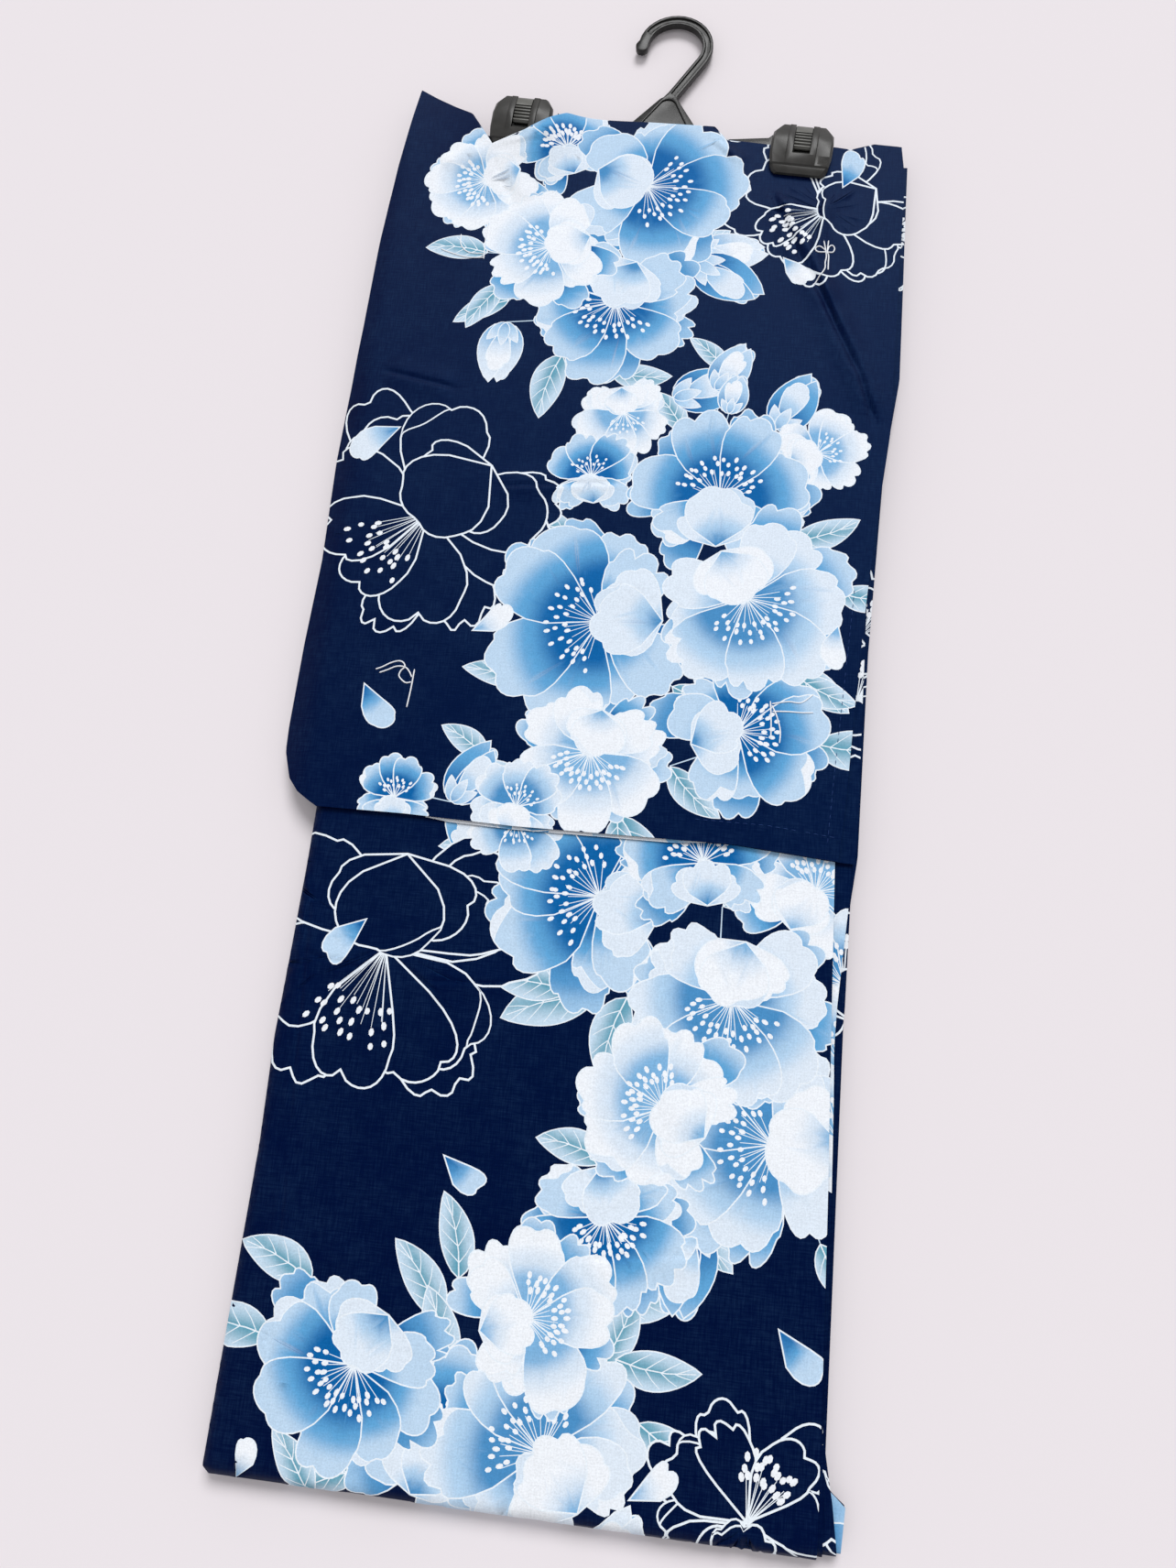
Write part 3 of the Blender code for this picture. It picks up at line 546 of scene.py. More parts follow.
    def bud(self, x, y, length, angle, kind):
        """A tulip-like bud: a deep petal behind, two at the sides, one in front, and sepals."""
        dice = self.dice
        angle = radians(angle)
        base = spot((x, y), angle, -length / 2)
        self.petal(base, angle, length * 0.98, TONES["deep"], spread=0.44, start=0.45)
        for way in (1, -1):
            self.blade(base, angle + 0.36 * way, length * dice.uniform(0.94, 1.06), length * 0.24,
                       TONES[kind], start=0.2, bend=-0.3 * way)
        self.petal(base, angle + dice.uniform(-0.12, 0.12), length * 0.82,
                   TONES["pale" if kind == "blue" else "white"], spread=0.42, lobes=2, start=0.25)
        for way in (1, -1, 0):
            self.blade(base, angle + 0.62 * way, length * 0.4, length * 0.09, TONES["pale"], 0.6, -0.1)

    def leaf(self, x, y, length, angle, curl=0.25):
        """A pointed leaf with a white midrib and side veins."""
        angle = radians(angle)
        base = spot((x, y), angle, -length / 2)
        width = length * self.dice.uniform(0.2, 0.25)

        def along(share, across):
            return spot(base, angle + curl * (share - 0.5), length * share, across)

        def half(share):
            return width * sin(pi * share ** 0.85) ** 0.8

        def colour(px, py):
            dx, dy = px - base[0], py - base[1]
            across = np.abs(dy * cos(angle) - dx * sin(angle)) / width
            share = (dx * cos(angle) + dy * sin(angle)) / length
            return tint(LEAF_DARK, LEAF_PALE, ease(across * 1.1 + share * 0.5 - 0.15))

        steps = [i / 12 for i in range(1, 12)]
        back = [along(s, -half(s)) for s in reversed(steps)]
        self.bordered([along(0, 0), *(along(s, half(s)) for s in steps), along(1, 0), *back],
                      colour, 0.65)
        self.stroke([along(s, 0) for s in (0.02, 0.3, 0.6, 0.93)], 0.8, LINE)
        for side in (-1, 1):
            for share in (0.18, 0.36, 0.54, 0.7):
                end = min(share + 0.2, 0.95)
                self.stroke([along(share, 0), along((share + end) / 2, side * half(end) * 0.45),
                             along(end, side * half(end) * 0.82)], FINE_LINE, LINE)

    def loose_petal(self, x, y, length, angle, kind):
        """A petal that has dropped off a bloom."""
        angle = radians(angle)
        base = spot((x, y), angle, -length / 2)
        self.petal(base, angle, length, TONES[kind], spread=0.5, lobes=2, lean=0.3, start=0.2)


def inset(outline, distance):
    """The outline moved inward by a distance."""
    area = sum(a[0] * b[1] - b[0] * a[1] for a, b in zip(outline, outline[1:] + outline[:1]))
    way = 1 if area > 0 else -1
    moved = []
    for i, point in enumerate(outline):
        before, after = outline[i - 1], outline[(i + 1) % len(outline)]
        ax, ay = point[0] - before[0], point[1] - before[1]
        bx, by = after[0] - point[0], after[1] - point[1]
        la, lb = hypot(ax, ay) or 1.0, hypot(bx, by) or 1.0
        nx, ny = -(ay / la + by / lb), ax / la + bx / lb
        size = hypot(nx, ny) or 1.0
        stretch = min(2 / size, 2.5)
        moved.append((point[0] + way * nx / size * distance * stretch,
                      point[1] + way * ny / size * distance * stretch))
    return moved


def ellipse(centre, long, short, turn, count):
    """An oval outline, turned."""
    angles = [2 * pi * i / count for i in range(count)]
    return [spot(centre, turn, long * cos(angle), short * sin(angle)) for angle in angles]


# ---------------------------------------------------------------- layout of the print
BLOOM_SCALE = 1.3           # drawn size of each kind of motif, for the size in its table
LEAF_SCALE = 1.3
BUD_SCALE = 1.45
BLOOM_REACH = 1.32          # a bloom covers this much, for the size in its table
STEM_REACH = 34.0           # leaves and buds within this of a bloom grow from it
STEM_WIDTH = 1.0
STEM_BEND = 0.08
UPPER_SIDE = -20.0          # motifs past this run lie on the upper side

Bloom = namedtuple("Bloom", "x y size angle kind")


def compose(seed, blooms, buds, leaves, petals):
    """The motifs of one panel: stems and leaves first, then buds and blooms over them."""
    design = Print(seed)
    full = [bloom._replace(size=BLOOM_REACH * bloom.size) for bloom in blooms if bloom.kind != "line"]
    placed = []
    for x, y, length, angle, *kind in (*leaves, *buds):
        length *= BUD_SCALE if kind else LEAF_SCALE
        turn = radians(angle)
        foot = spot((x, y), turn, -length / 2)
        near = min(full, key=lambda bloom: hypot(bloom.x - foot[0], bloom.y - foot[1]) - bloom.size)
        gap = hypot(foot[0] - near.x, foot[1] - near.y)
        if gap < near.size + STEM_REACH:
            aim = turn if gap < 0.5 * near.size else atan2(foot[1] - near.y, foot[0] - near.x)
            foot = spot(near, aim, max(gap, (0.98 if kind else 0.86) * near.size))
            bend = ((foot[0] + near.x) / 2 + STEM_BEND * (near.y - foot[1]),
                    (foot[1] + near.y) / 2 - STEM_BEND * (near.x - foot[0]))
            design.stroke([(near.x, near.y), bend, foot], STEM_WIDTH, LEAF_PALE)
        placed.append((*spot(foot, turn, length / 2), length, angle, *kind))
    for x, y, length, angle, *kind in placed:
        design.rim_count = TOP_RIM if y > UPPER_SIDE else UNDER_RIM
        motif = design.bud if kind else design.leaf
        motif(x, y, length, angle, *kind)
    for x, y, size, angle, kind in blooms:
        design.rim_count = TOP_RIM if y > UPPER_SIDE else UNDER_RIM
        design.flower(x, y, size * BLOOM_SCALE, angle, kind)
    for item in petals:
        design.loose_petal(*item)
    return design


def sleeve_print():
    """The print of the sleeve: a course of blooms down its middle, outline blooms at its sides."""
    blooms = (
        Bloom(118, 758, 50, -150, "line"), Bloom(-110, 530, 68, -135, "line"),
        Bloom(120, 584, 24, 25, "white"), Bloom(2, 606, 24, -80, "white"),
        Bloom(-14, 560, 24, 100, "blue"), Bloom(-52, 797, 26, 110, "blue"),
        Bloom(-103, 772, 32, 200, "white"), Bloom(2, 772, 48, -20, "blue"),
        Bloom(-10, 684, 44, -110, "blue"), Bloom(-55, 723, 36, -160, "white"),
        Bloom(64, 551, 44, 90, "blue"), Bloom(0, 467, 51, 185, "blue"),
        Bloom(84, 406, 38, 20, "blue"), Bloom(84, 488, 46, -60, "pale"),
        Bloom(2, 388, 36, -100, "white"),
        Bloom(-107, 352, 20, 90, "blue"), Bloom(-37, 352, 22, 70, "pale"),
    )
    buds = (
        (-80, 644, 30, -95, "white"), (55, 731, 30, 5, "white"), (52, 699, 34, -30, "blue"),
        (35, 803, 24, 40, "pale"), (32, 622, 32, 20, "blue"), (66, 640, 26, 60, "pale"),
        (68, 610, 20, 80, "pale"), (104, 615, 30, 60, "blue"), (-64, 370, 28, 60, "blue"),
    )
    leaves = (
        (-116, 720, 32, 170), (-36, 638, 36, -110), (4, 715, 28, -60), (-41, 808, 26, 120),
        (10, 640, 30, -10), (-42, 527, 34, 170), (117, 538, 34, 15), (142, 490, 30, -10),
        (124, 408, 40, -5), (34, 361, 40, -60), (-42, 378, 34, 165), (64, 369, 32, -50),
        (45, 438, 28, -20), (95, 590, 26, 80), (48, 590, 26, 120), (-96, 675, 30, 200),
        (38, 742, 26, 20), (110, 450, 30, -50), (-70, 390, 26, 140), (20, 342, 26, -80),
        (-60, 500, 34, 205), (-58, 432, 30, 160), (132, 432, 30, -30), (118, 610, 28, 50),
        (56, 768, 30, 25), (-84, 690, 30, 230), (52, 650, 26, 130),
    )
    petals = (
        (-152, 582, 36, 200, "pale"), (-62, 461, 28, 20, "white"), (-129, 405, 32, -70, "blue"),
        (99, 710, 26, -60, "white"), (133, 462, 28, -110, "white"), (135, 788, 30, 60, "blue"),
    )
    return compose(11, blooms, buds, leaves, petals)


def body_print():
    """The print of the left back panel, on the upper side and on past the near fold."""
    blooms = (
        Bloom(-100, 268, 74, -95, "line"), Bloom(114, 8, 42, 80, "line"),
        Bloom(132, 318, 34, 60, "white"), Bloom(15, 306, 48, 165, "blue"),
        Bloom(117, 184, 46, 190, "pale"), Bloom(91, 257, 44, -100, "pale"),
        Bloom(33, 140, 35, -80, "blue"), Bloom(59, 197, 36, 150, "white"),
        Bloom(-38, 24, 36, 60, "blue"), Bloom(12, 27, 44, 130, "pale"),
        Bloom(-87, 57, 40, -120, "blue"), Bloom(-2, 88, 35, 20, "white"),
        Bloom(70, 330, 34, 100, "blue"), Bloom(-36, 346, 24, -70, "pale"),
        # underneath, past the near fold
        Bloom(-96, -190, 66, -95, "line"), Bloom(98, -520, 66, 100, "line"),
        Bloom(70, -90, 48, 170, "blue"), Bloom(104, -150, 42, -60, "pale"),
        Bloom(40, -170, 40, 60, "white"), Bloom(84, -240, 48, 120, "blue"),
        Bloom(20, -260, 42, -140, "pale"), Bloom(-30, -420, 48, 30, "blue"),
        Bloom(-84, -470, 46, 140, "pale"), Bloom(-20, -510, 38, -90, "white"),
        Bloom(-90, -570, 48, 60, "blue"), Bloom(-40, -640, 46, 170, "blue"),
        Bloom(20, -700, 44, -30, "pale"),
    )
    buds = (
        (70, 118, 34, -95, "blue"), (150, 255, 28, 30, "pale"), (-46, 330, 26, 140, "blue"),
        (60, -30, 30, 70, "white"), (120, -300, 32, -40, "blue"), (40, -330, 30, -100, "pale"),
        (30, -440, 32, 20, "white"), (-120, -650, 30, 200, "blue"),
    )
    leaves = (
        (-8, 251, 42, 190), (-14, 273, 32, 170), (27, 231, 36, -110), (64, 224, 26, 80),
        (87, 137, 34, -60), (45, 168, 32, 150), (-133, 59, 38, 170), (-37, 122, 34, 100),
        (-58, 102, 36, 120), (39, 99, 40, 15), (-72, 19, 34, 200), (-111, 9, 30, 120),
        (100, 310, 32, 40), (-30, 300, 32, 200), (20, 60, 30, 60), (130, 140, 28, -60),
        (-52, 78, 34, 100), (-128, 96, 34, 150), (66, 70, 34, -10), (-38, 322, 34, 175),
        (24, 186, 30, 160), (74, 36, 30, -30),
        (30, -130, 36, 160), (130, -200, 36, 20), (60, -290, 34, -80), (-20, -230, 36, 190),
        (-60, -400, 36, 120), (10, -470, 34, -20), (-130, -520, 36, 200), (-10, -590, 34, 40),
        (40, -650, 34, 30), (60, -740, 34, -60),
    )
    petals = (
        (-126, 274, 32, 215, "blue"), (-46, 152, 28, -50, "blue"), (132, 83, 32, -60, "blue"),
        (69, 16, 28, 20, "white"), (-135, 6, 22, 60, "white"), (-60, -110, 30, -30, "blue"),
        (120, -420, 30, 60, "blue"), (-110, -330, 30, 120, "white"), (100, -640, 30, 200, "blue"),
    )
    return compose(23, blooms, buds, leaves, petals)


def side_print(seed, places, others=()):
    """Motifs near the right edge of a layer that shows only there, and a few others."""
    blooms = [Bloom(150, y, 34, angle, kind) for y, angle, kind in places]
    return compose(seed, [*blooms, *others], (), (), ())


# ---------------------------------------------------------------- cloth meshes
BACK_SPACING = 14.0         # grid of the plain skins
BODY_SPACING = 5.4          # and of the printed ones, finer where more shows
SLEEVE_SPACING = 4.5
LOWER_SPACING = 8.0
CORE_SPACING = 9.0
INNER_SPACING = 12.0
ROW_RATIO = 0.87            # a staggered grid's rows are nearer than its columns
HEM_STEPS, EDGE_STEPS, CORE_EDGE_STEPS = 5.0, 4.0, 6.0  # between the points of an outline
SHOULDER_POINTS, SLEEVE_HEM_POINTS, SLEEVE_TOP_POINTS = 60, 90, 120
POINT_MERGE = 1e-4          # points nearer than this become one
CLOTH_SHARP, THREAD_SHARP = 60, 50  # edges past these angles stay sharp
CREASE_STEP = 3.0           # rows of points across a crease, along it
CREASE_ROWS = (-3.4, -1.7, -0.8, 0.02, 0.8, 1.7, 3.4)


def spread_points(boundary, spacing):
    """A staggered grid of points over the outline's box, a little inside it."""
    xs, ys = [p[0] for p in boundary], [p[1] for p in boundary]
    step_y = spacing * ROW_RATIO
    across = int((max(xs) - min(xs)) / spacing) + 1
    points = []
    for j in range(int((max(ys) - min(ys)) / step_y) + 1):
        y = min(ys) + (j + 0.5) * step_y
        points += [(min(xs) + (i + 0.25 + 0.5 * (j % 2)) * spacing, y) for i in range(across)]
    return points


def crease_points(folds):
    """Rows of points beside the middle of each fold, for its sharper shape."""
    points = []
    for fold in folds:
        run = hypot(fold.x1 - fold.x0, fold.y1 - fold.y0)
        nx, ny = -(fold.y1 - fold.y0) / run, (fold.x1 - fold.x0) / run
        for i in range(1, int(run / CREASE_STEP)):
            share = CREASE_STEP * i / run
            x, y = mix(fold.x0, fold.x1, share), mix(fold.y0, fold.y1, share)
            points += [(x + off * nx, y + off * ny) for off in CREASE_ROWS]
    return points


def within(outline, x, y):
    """Which places of two arrays lie inside an outline."""
    hit = np.zeros(len(x), bool)
    for (ax, ay), (bx, by) in zip(outline, outline[1:] + outline[:1]):
        if ay != by:
            crosses = (ay > y) != (by > y)
            hit ^= crosses & (x < (bx - ax) * (y - ay) / (by - ay) + ax)
    return hit


def triangulate(boundary, shapes, extra):
    """Triangles inside a boundary: points, triangles and the topmost shape of each, or -1."""
    points, edges = [], []
    for outline in (boundary, *shapes):
        start, count = len(points), len(outline)
        points += outline
        edges += [(start + i, start + (i + 1) % count) for i in range(count)]
    points = [Vector(p) for p in points + extra]
    out = delaunay_2d_cdt(points, edges, [], 0, POINT_MERGE, False)
    verts = np.array([v[:] for v in out[0]])
    tris = np.array([face[:3] for face in out[2]])
    centre = verts[tris].mean(axis=1)
    keep = within(boundary, centre[:, 0], centre[:, 1])
    tris, centre = tris[keep], centre[keep]
    used, flat = np.unique(tris, return_inverse=True)
    owner = np.full(len(tris), -1)
    for index, outline in enumerate(shapes):
        low, high = np.min(outline, axis=0), np.max(outline, axis=0)
        near = np.nonzero(((centre > low) & (centre < high)).all(axis=1))[0]
        near = near[within(outline, centre[near, 0], centre[near, 1])]
        owner[near] = index
    return verts[used], flat.reshape(-1, 3), owner


def rim_loop(tris):
    """The ordered border vertices of a triangle mesh."""
    border, edges = {}, set()
    for a, b, c in tris.tolist():
        edges.update(((a, b), (b, c), (c, a)))
    for a, b in edges:
        if (b, a) not in edges:
            border[a] = b
    start = next(iter(border))
    loop, here = [start], border[start]
    while here != start:
        loop.append(here)
        here = border[here]
    return loop


def colour_at(colour, x, y):
    """A motif's colour at places: one for all of them, or one for each."""
    return colour(x, y) if callable(colour) else colour


def place_object(name, data):
    """A new object in the scene."""
    obj = bpy.data.objects.new(name, data)
    bpy.context.scene.collection.objects.link(obj)
    return obj


def dyed_object(name, mesh, colours, material, sharp):
    """An object with a colour for each corner of its mesh, sharp past an angle in degrees."""
    dye = mesh.color_attributes.new("dye", "FLOAT_COLOR", "CORNER")
    dye.data.foreach_set("color", np.column_stack((colours, np.ones(len(colours)))).ravel())
    mesh.shade_smooth()
    mesh.set_sharp_from_angle(angle=radians(sharp))
    mesh.materials.append(material)
    return place_object(name, mesh)


def cloth(name, boundary, design, spacing, seat, material, creases=()):
    """A closed thin shell: a printed skin, a plain skin and the strip that joins them.

    seat(x, y, side) gives a place in millimetres, side 0 on the printed skin and 1 inside.
    """
    inner = spread_points(boundary, spacing) + crease_points(creases)
    plan, tris, owner = triangulate(boundary, [shape[0] for shape in design.shapes], inner)
    loop = rim_loop(tris)
    rim = [tuple(plan[i]) for i in loop]
    back, back_tris, _ = triangulate(rim, [], spread_points(boundary, BACK_SPACING))
    place = {tuple(np.round(back[i], 3)): i for i in rim_loop(back_tris)}
    partner = [place[tuple(np.round(point, 3))] for point in rim]

    dyes = np.empty((len(tris), 3, 3))
    dyes[:] = NAVY
    for index in np.unique(owner[owner >= 0]):
        mine = owner == index
        corners = plan[tris[mine]]
        dyes[mine] = colour_at(design.shapes[index][1], corners[..., 0], corners[..., 1])
    dyes = np.concatenate((dyes.reshape(-1, 3), np.tile(WRONG_SIDE, (3 * len(back_tris), 1)),
                           np.tile(NAVY, (4 * len(loop), 1))))

    front = np.stack(world(*seat(plan[:, 0], plan[:, 1], 0)), axis=1)
    behind = np.stack(world(*seat(back[:, 0], back[:, 1], 1)), axis=1)
    offset = len(plan)
    faces = [tuple(tri) for tri in tris.tolist()]
    faces += [tuple(offset + i for i in reversed(tri)) for tri in back_tris.tolist()]
    for i, here in enumerate(loop):
        j = (i + 1) % len(loop)
        faces.append((loop[j], here, offset + partner[i], offset + partner[j]))
    mesh = bpy.data.meshes.new(name)
    mesh.from_pydata(np.concatenate((front, behind)).tolist(), [], faces)
    return dyed_object(name, mesh, dyes, material, CLOTH_SHARP)


def stations(start, end, step):
    """Even places from a start up to an end, which is left out."""
    count = max(1, ceil(abs(end - start) / step))
    return [mix(start, end, i / count) for i in range(count)]


def run_boundary(layer, low, high):
    """Outline of a layer's run from v = low to v = high(x)."""
    def left(v):
        edge = look_up(BODY_EDGES, height_along(-EDGE_X, v), "y", "centre_back") + BACK_ROLL
        return edge - pi / 2 * BACK_ROLL if layer.roll else edge + FRONT_INSET

    def right(v):
        slipped = SLIPPED.get(layer.column, 0.0) * passed(SLIP_FROM, v)
        edge = look_up(BODY_EDGES, height_along(EDGE_X, v), "y", layer.column)
        return edge + slipped * passed(SLIP_TO, v)

    right_high, left_high = high(right(SHOULDER_Y)), high(left(SHOULDER_Y))
    outline = [(x, low) for x in stations(left(low), right(low), HEM_STEPS)]
    outline += [(right(v), v) for v in stations(low, right_high, EDGE_STEPS)]
    top = [mix(right(right_high), left(left_high), i / SHOULDER_POINTS) for i in range(SHOULDER_POINTS)]
    outline += [(x, high(x)) for x in top]
    outline += [(left(v), v) for v in stations(left_high, low, EDGE_STEPS)]
    return outline


def run_seat(layer, turn_inset=None):
    """Where a run's skins lie: side 0 is the skin that faces out of the folded body."""
    def seat(x, v, side):
        skin = CLOTH * side - HALF
        relief = 0.0
        if layer is LEFT_BACK and side == 0:
            relief = rise_along(BODY_FOLDS + BODY_CREASES + UNDER_FOLDS, x, v)
        px, py, pz = layer_point(layer, x, v, skin, relief)
        if turn_inset is None:
            return px, py, pz
        edge = shoulder_edge(x, turn_inset)
        radius = PITCH / 2 - skin
        angle = np.maximum(v - edge, 0.0) / (PITCH / 2 + HALF)
        ty = edge + radius * np.sin(angle)
        tz = stack_top(x, ty) - (layer.depth + PITCH / 2 - radius * np.cos(angle))
        past = v > edge
        return np.where(past, x, px), np.where(past, ty, py), np.where(past, tz, pz)
    return seat


def body_run(name, layer, order, node, design, spacing, material, turned):
    """One run of a body panel, from its hem underneath round the fold to the shoulder."""
    margin = SHOULDER_INSET + (order // 2) * SHOULDER_STEP
    reach = pi * (PITCH / 2 + HALF) if turned else -1.0
    low = -FOLD_RUN - (HEM_Y - HEM_STEP * order)

    def high(x):
        return shoulder_edge(x, margin) + reach

    boundary = run_boundary(layer, low, high)
    seat = run_seat(layer, margin if turned else None)
    creases = BODY_FOLDS + BODY_CREASES if layer is LEFT_BACK else ()
    piece = cloth(name, boundary, design, spacing, seat, material, creases)
    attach(piece, "root")
    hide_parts(node)


def core_layer(name, order, right, design, material):
    """One bundle of the layers that lie between the two halves of the folded body."""
    depth = 4 * PITCH + CORE_CLEAR
    near = fold_edge(0) + stack_top(0, 0) / 2 + CORE_NEAR
    far = HEM_Y - CORE_END
    step = CORE_EDGE_STEPS

    def left(y):
        return look_up(BODY_EDGES, y, "y", "centre_back") + CORE_INSET

    def right_at(y):
        return right - CORE_CORNER * ease((near + CORE_CORNER_RUN - y) / CORE_CORNER_RUN)

    outline = [(x, near) for x in stations(left(near), right - CORE_CORNER, step)]
    outline += [(right_at(y), y) for y in stations(near, far, step)]
    outline += [(x, far) for x in stations(right, left(far), step)]
    outline += [(left(y), y) for y in stations(far, near, step)]

    def seat(x, y, side):
        room = stack_top(x, y) - 2 * depth
        top = depth + room * (order + 1) / len(CORE_STEPS) - CORE_CLEAR_ABOVE
        foot = depth + room * order / len(CORE_STEPS) + CORE_CLEAR_BELOW
        return x, y, mix(top, foot, side)

    outline = [(float(x), float(y)) for x, y in outline]
    piece = cloth(name, outline, design, CORE_SPACING, seat, material)
    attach(piece, "root")
    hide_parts("folded_core")
    (right - left(near)) * MM


# ---------------------------------------------------------------- the sleeve's form
def sleeve_height(x, y):
    """Height of the middle of the sleeve's lower layer."""
    def droop(past, fall):
        return fall * (np.maximum(0.0, past) / 10) ** DROOP_CURVE

    body = stack_top(np.maximum(x, -EDGE_X), np.minimum(y, SLEEVE_HEAD))
    spread = np.where(x < RIDE_X, RIDE_SPREAD_LEFT, RIDE_SPREAD_RIGHT)
    ride = RIDE_HEIGHT * np.exp(-(((x - RIDE_X) / spread) ** 2)) * passed(RIDE_STARTS, y)
    drop = (droop(REST_LEFT - x, DROOP_LEFT) + droop(x - REST_RIGHT, DROOP_RIGHT)
            + droop(y - REST_TOP, DROOP_TOP))
    return body + GAP + HALF + ride - drop


def upper_rise(x, y, side=0):
    """Height of the upper layer's folds; its inner skin stays under all of them."""
    rise = rise_along(SLEEVE_FOLDS + FINE_FOLDS + SLEEVE_CREASES, x, y) * passed(FOLDS_FADE, y)
    below_top = look_up(SLEEVE_TOP, x, "x", "y") - y
    notch = rise_along(NOTCH_FOLDS, x, y) * passed(NOTCH_STARTS, below_top)
    rise = np.maximum(rise + notch, LOWEST_DIP)
    if side:
        rise = np.minimum(rise, 0.0)
    from_cuff = x - look_up(SLEEVE_EDGES, y, "y", "left")
    parted = CUFF_LIFT * np.exp(-from_cuff / CUFF_FADE)
    return rise + parted * passed(CUFF_OPENS, y) * passed(CUFF_CLOSES, y)


def sleeve_plan(share, nominal, column):
    """A place on the sleeve: a share across it, at a nominal Y that its ends bend."""
    left = look_up(SLEEVE_EDGES, nominal, "y", "left")
    x = mix(left, look_up(SLEEVE_EDGES, nominal, "y", column), share)
    top = look_up(SLEEVE_TOP, x, "x", "y") - SLEEVE_HEAD
    bottom = look_up(SLEEVE_BOTTOM, x, "x", "y") - SLEEVE_FOOT
    return x, nominal + top * passed(TOP_BENDS, nominal) + bottom * passed(HEM_BENDS, nominal)


def sleeve_boundary(column, peep=0.0):
    """Outline of a sleeve layer, its hem a little lower in the middle by a length peep."""
    hem = [sleeve_plan(i / SLEEVE_HEM_POINTS, SLEEVE_FOOT, column) for i in range(SLEEVE_HEM_POINTS)]
    outline = [(x, y - peep * passed(PEEP_FROM, x) * passed(PEEP_TO, x)) for x, y in hem]
    outline += [sleeve_plan(1, n, column if n < ONE_EDGE_Y else "outer_right")
                for n in stations(SLEEVE_FOOT, SLEEVE_HEAD, EDGE_STEPS)]
    outline += [sleeve_plan(1 - i / SLEEVE_TOP_POINTS, SLEEVE_HEAD, "outer_right")
                for i in range(SLEEVE_TOP_POINTS)]
    outline += [sleeve_plan(0, n, column) for n in stations(SLEEVE_HEAD, SLEEVE_FOOT, EDGE_STEPS)]
    return outline


def upper_seat(x, y, side):
    """Where the skins of the sleeve's upper layer lie, side 0 outside."""
    return x, y, sleeve_height(x, y) + PITCH + HALF - CLOTH * side + upper_rise(x, y, side)


def lower_seat(x, y, side):
    """Where the skins of its lower layer lie, side 0 towards the upper layer."""
    return x, y, sleeve_height(x, y) - HALF + CLOTH * (1 - side)


def print_at(design, x, y):
    """Colours of a print at places."""
    colours = np.tile(NAVY, (len(x), 1))
    for outline, colour in design.shapes:
        inside = within(outline, x, y)
        if inside.any():
            colours[inside] = colour_at(colour, x[inside], y[inside])
    return colours


TURN_POINTS, TURN_STEPS = 240, 8    # of the sleeve's top, along it and round its turn
PRINT_INSIDE = 0.8          # its colours are the print's, this far inside the edge


def sleeve_fold(name, design, material):
    """The sleeve's top, where its one cloth turns from the upper layer to the lower."""
    edge = np.array([sleeve_plan(i / TURN_POINTS, SLEEVE_HEAD, "outer_right")
                     for i in range(TURN_POINTS + 1)])
    steps = TURN_STEPS
    before = edge[np.maximum(np.arange(len(edge)) - 2, 0)]
    after = edge[np.minimum(np.arange(len(edge)) + 2, len(edge) - 1)]
    run = np.hypot(*(after - before).T)
    normal = np.stack((before[:, 1] - after[:, 1], after[:, 0] - before[:, 0]), axis=1) / run[:, None]
    shown = edge - PRINT_INSIDE * normal
    dyes = print_at(design, shown[:, 0], shown[:, 1])
    points, faces, colours = [], [], []
    for (x, y), (nx, ny), colour in zip(edge, normal, dyes):
        middle = sleeve_height(x, y) + PITCH / 2
        for radius in (PITCH / 2 + HALF, PITCH / 2 + HALF - CLOTH):
            for step in range(steps + 1):
                angle = pi * step / steps
                reach = radius * sin(angle)
                points.append(world(x + nx * reach, y + ny * reach, middle + radius * cos(angle)))
                colours.append(colour)
    ring = 2 * (steps + 1)
    order = [*range(steps + 1), *reversed(range(steps + 1, ring))]
    for i in range(len(edge) - 1):
        for k in range(ring):
            a, b = order[k], order[(k + 1) % ring]
            faces.append((i * ring + a, i * ring + b, (i + 1) * ring + b, (i + 1) * ring + a))
    faces.append(tuple(order[::-1]))
    faces.append(tuple((len(edge) - 1) * ring + k for k in order))
    return painted_mesh(name, points, faces, colours, material)


def painted_mesh(name, points, faces, colours, material):
    """A mesh with a colour for each point, its faces turned outward."""
    mesh = bpy.data.meshes.new(name)
    mesh.from_pydata(points, [], faces)
    shape = bmesh.new()
    shape.from_mesh(mesh)
    bmesh.ops.recalc_face_normals(shape, faces=shape.faces)
    shape.to_mesh(mesh)
    shape.free()
    dyes = np.array(colours)[[corner.vertex_index for corner in mesh.loops]]
    return dyed_object(name, mesh, dyes, material, THREAD_SHARP)


# ---------------------------------------------------------------- threads
THREAD_TIP = 0.55           # share of its radius that a thread has at its ends


def smooth_path(points, steps=6):
    """A smooth curve through points (Catmull-Rom)."""
    path = []
    for i in range(len(points) - 1):
        p0, p1 = points[max(i - 1, 0)], points[i]
        p2, p3 = points[i + 1], points[min(i + 2, len(points) - 1)]
        for k in range(steps):
            t = k / steps
            path.append(tuple(0.5 * (2 * b + (c - a) * t + (2 * a - 5 * b + 4 * c - d) * t * t
                                     + (3 * b - 3 * c + d - a) * t ** 3)
                              for a, b, c, d in zip(p0, p1, p2, p3)))
    return [*path, points[-1]]


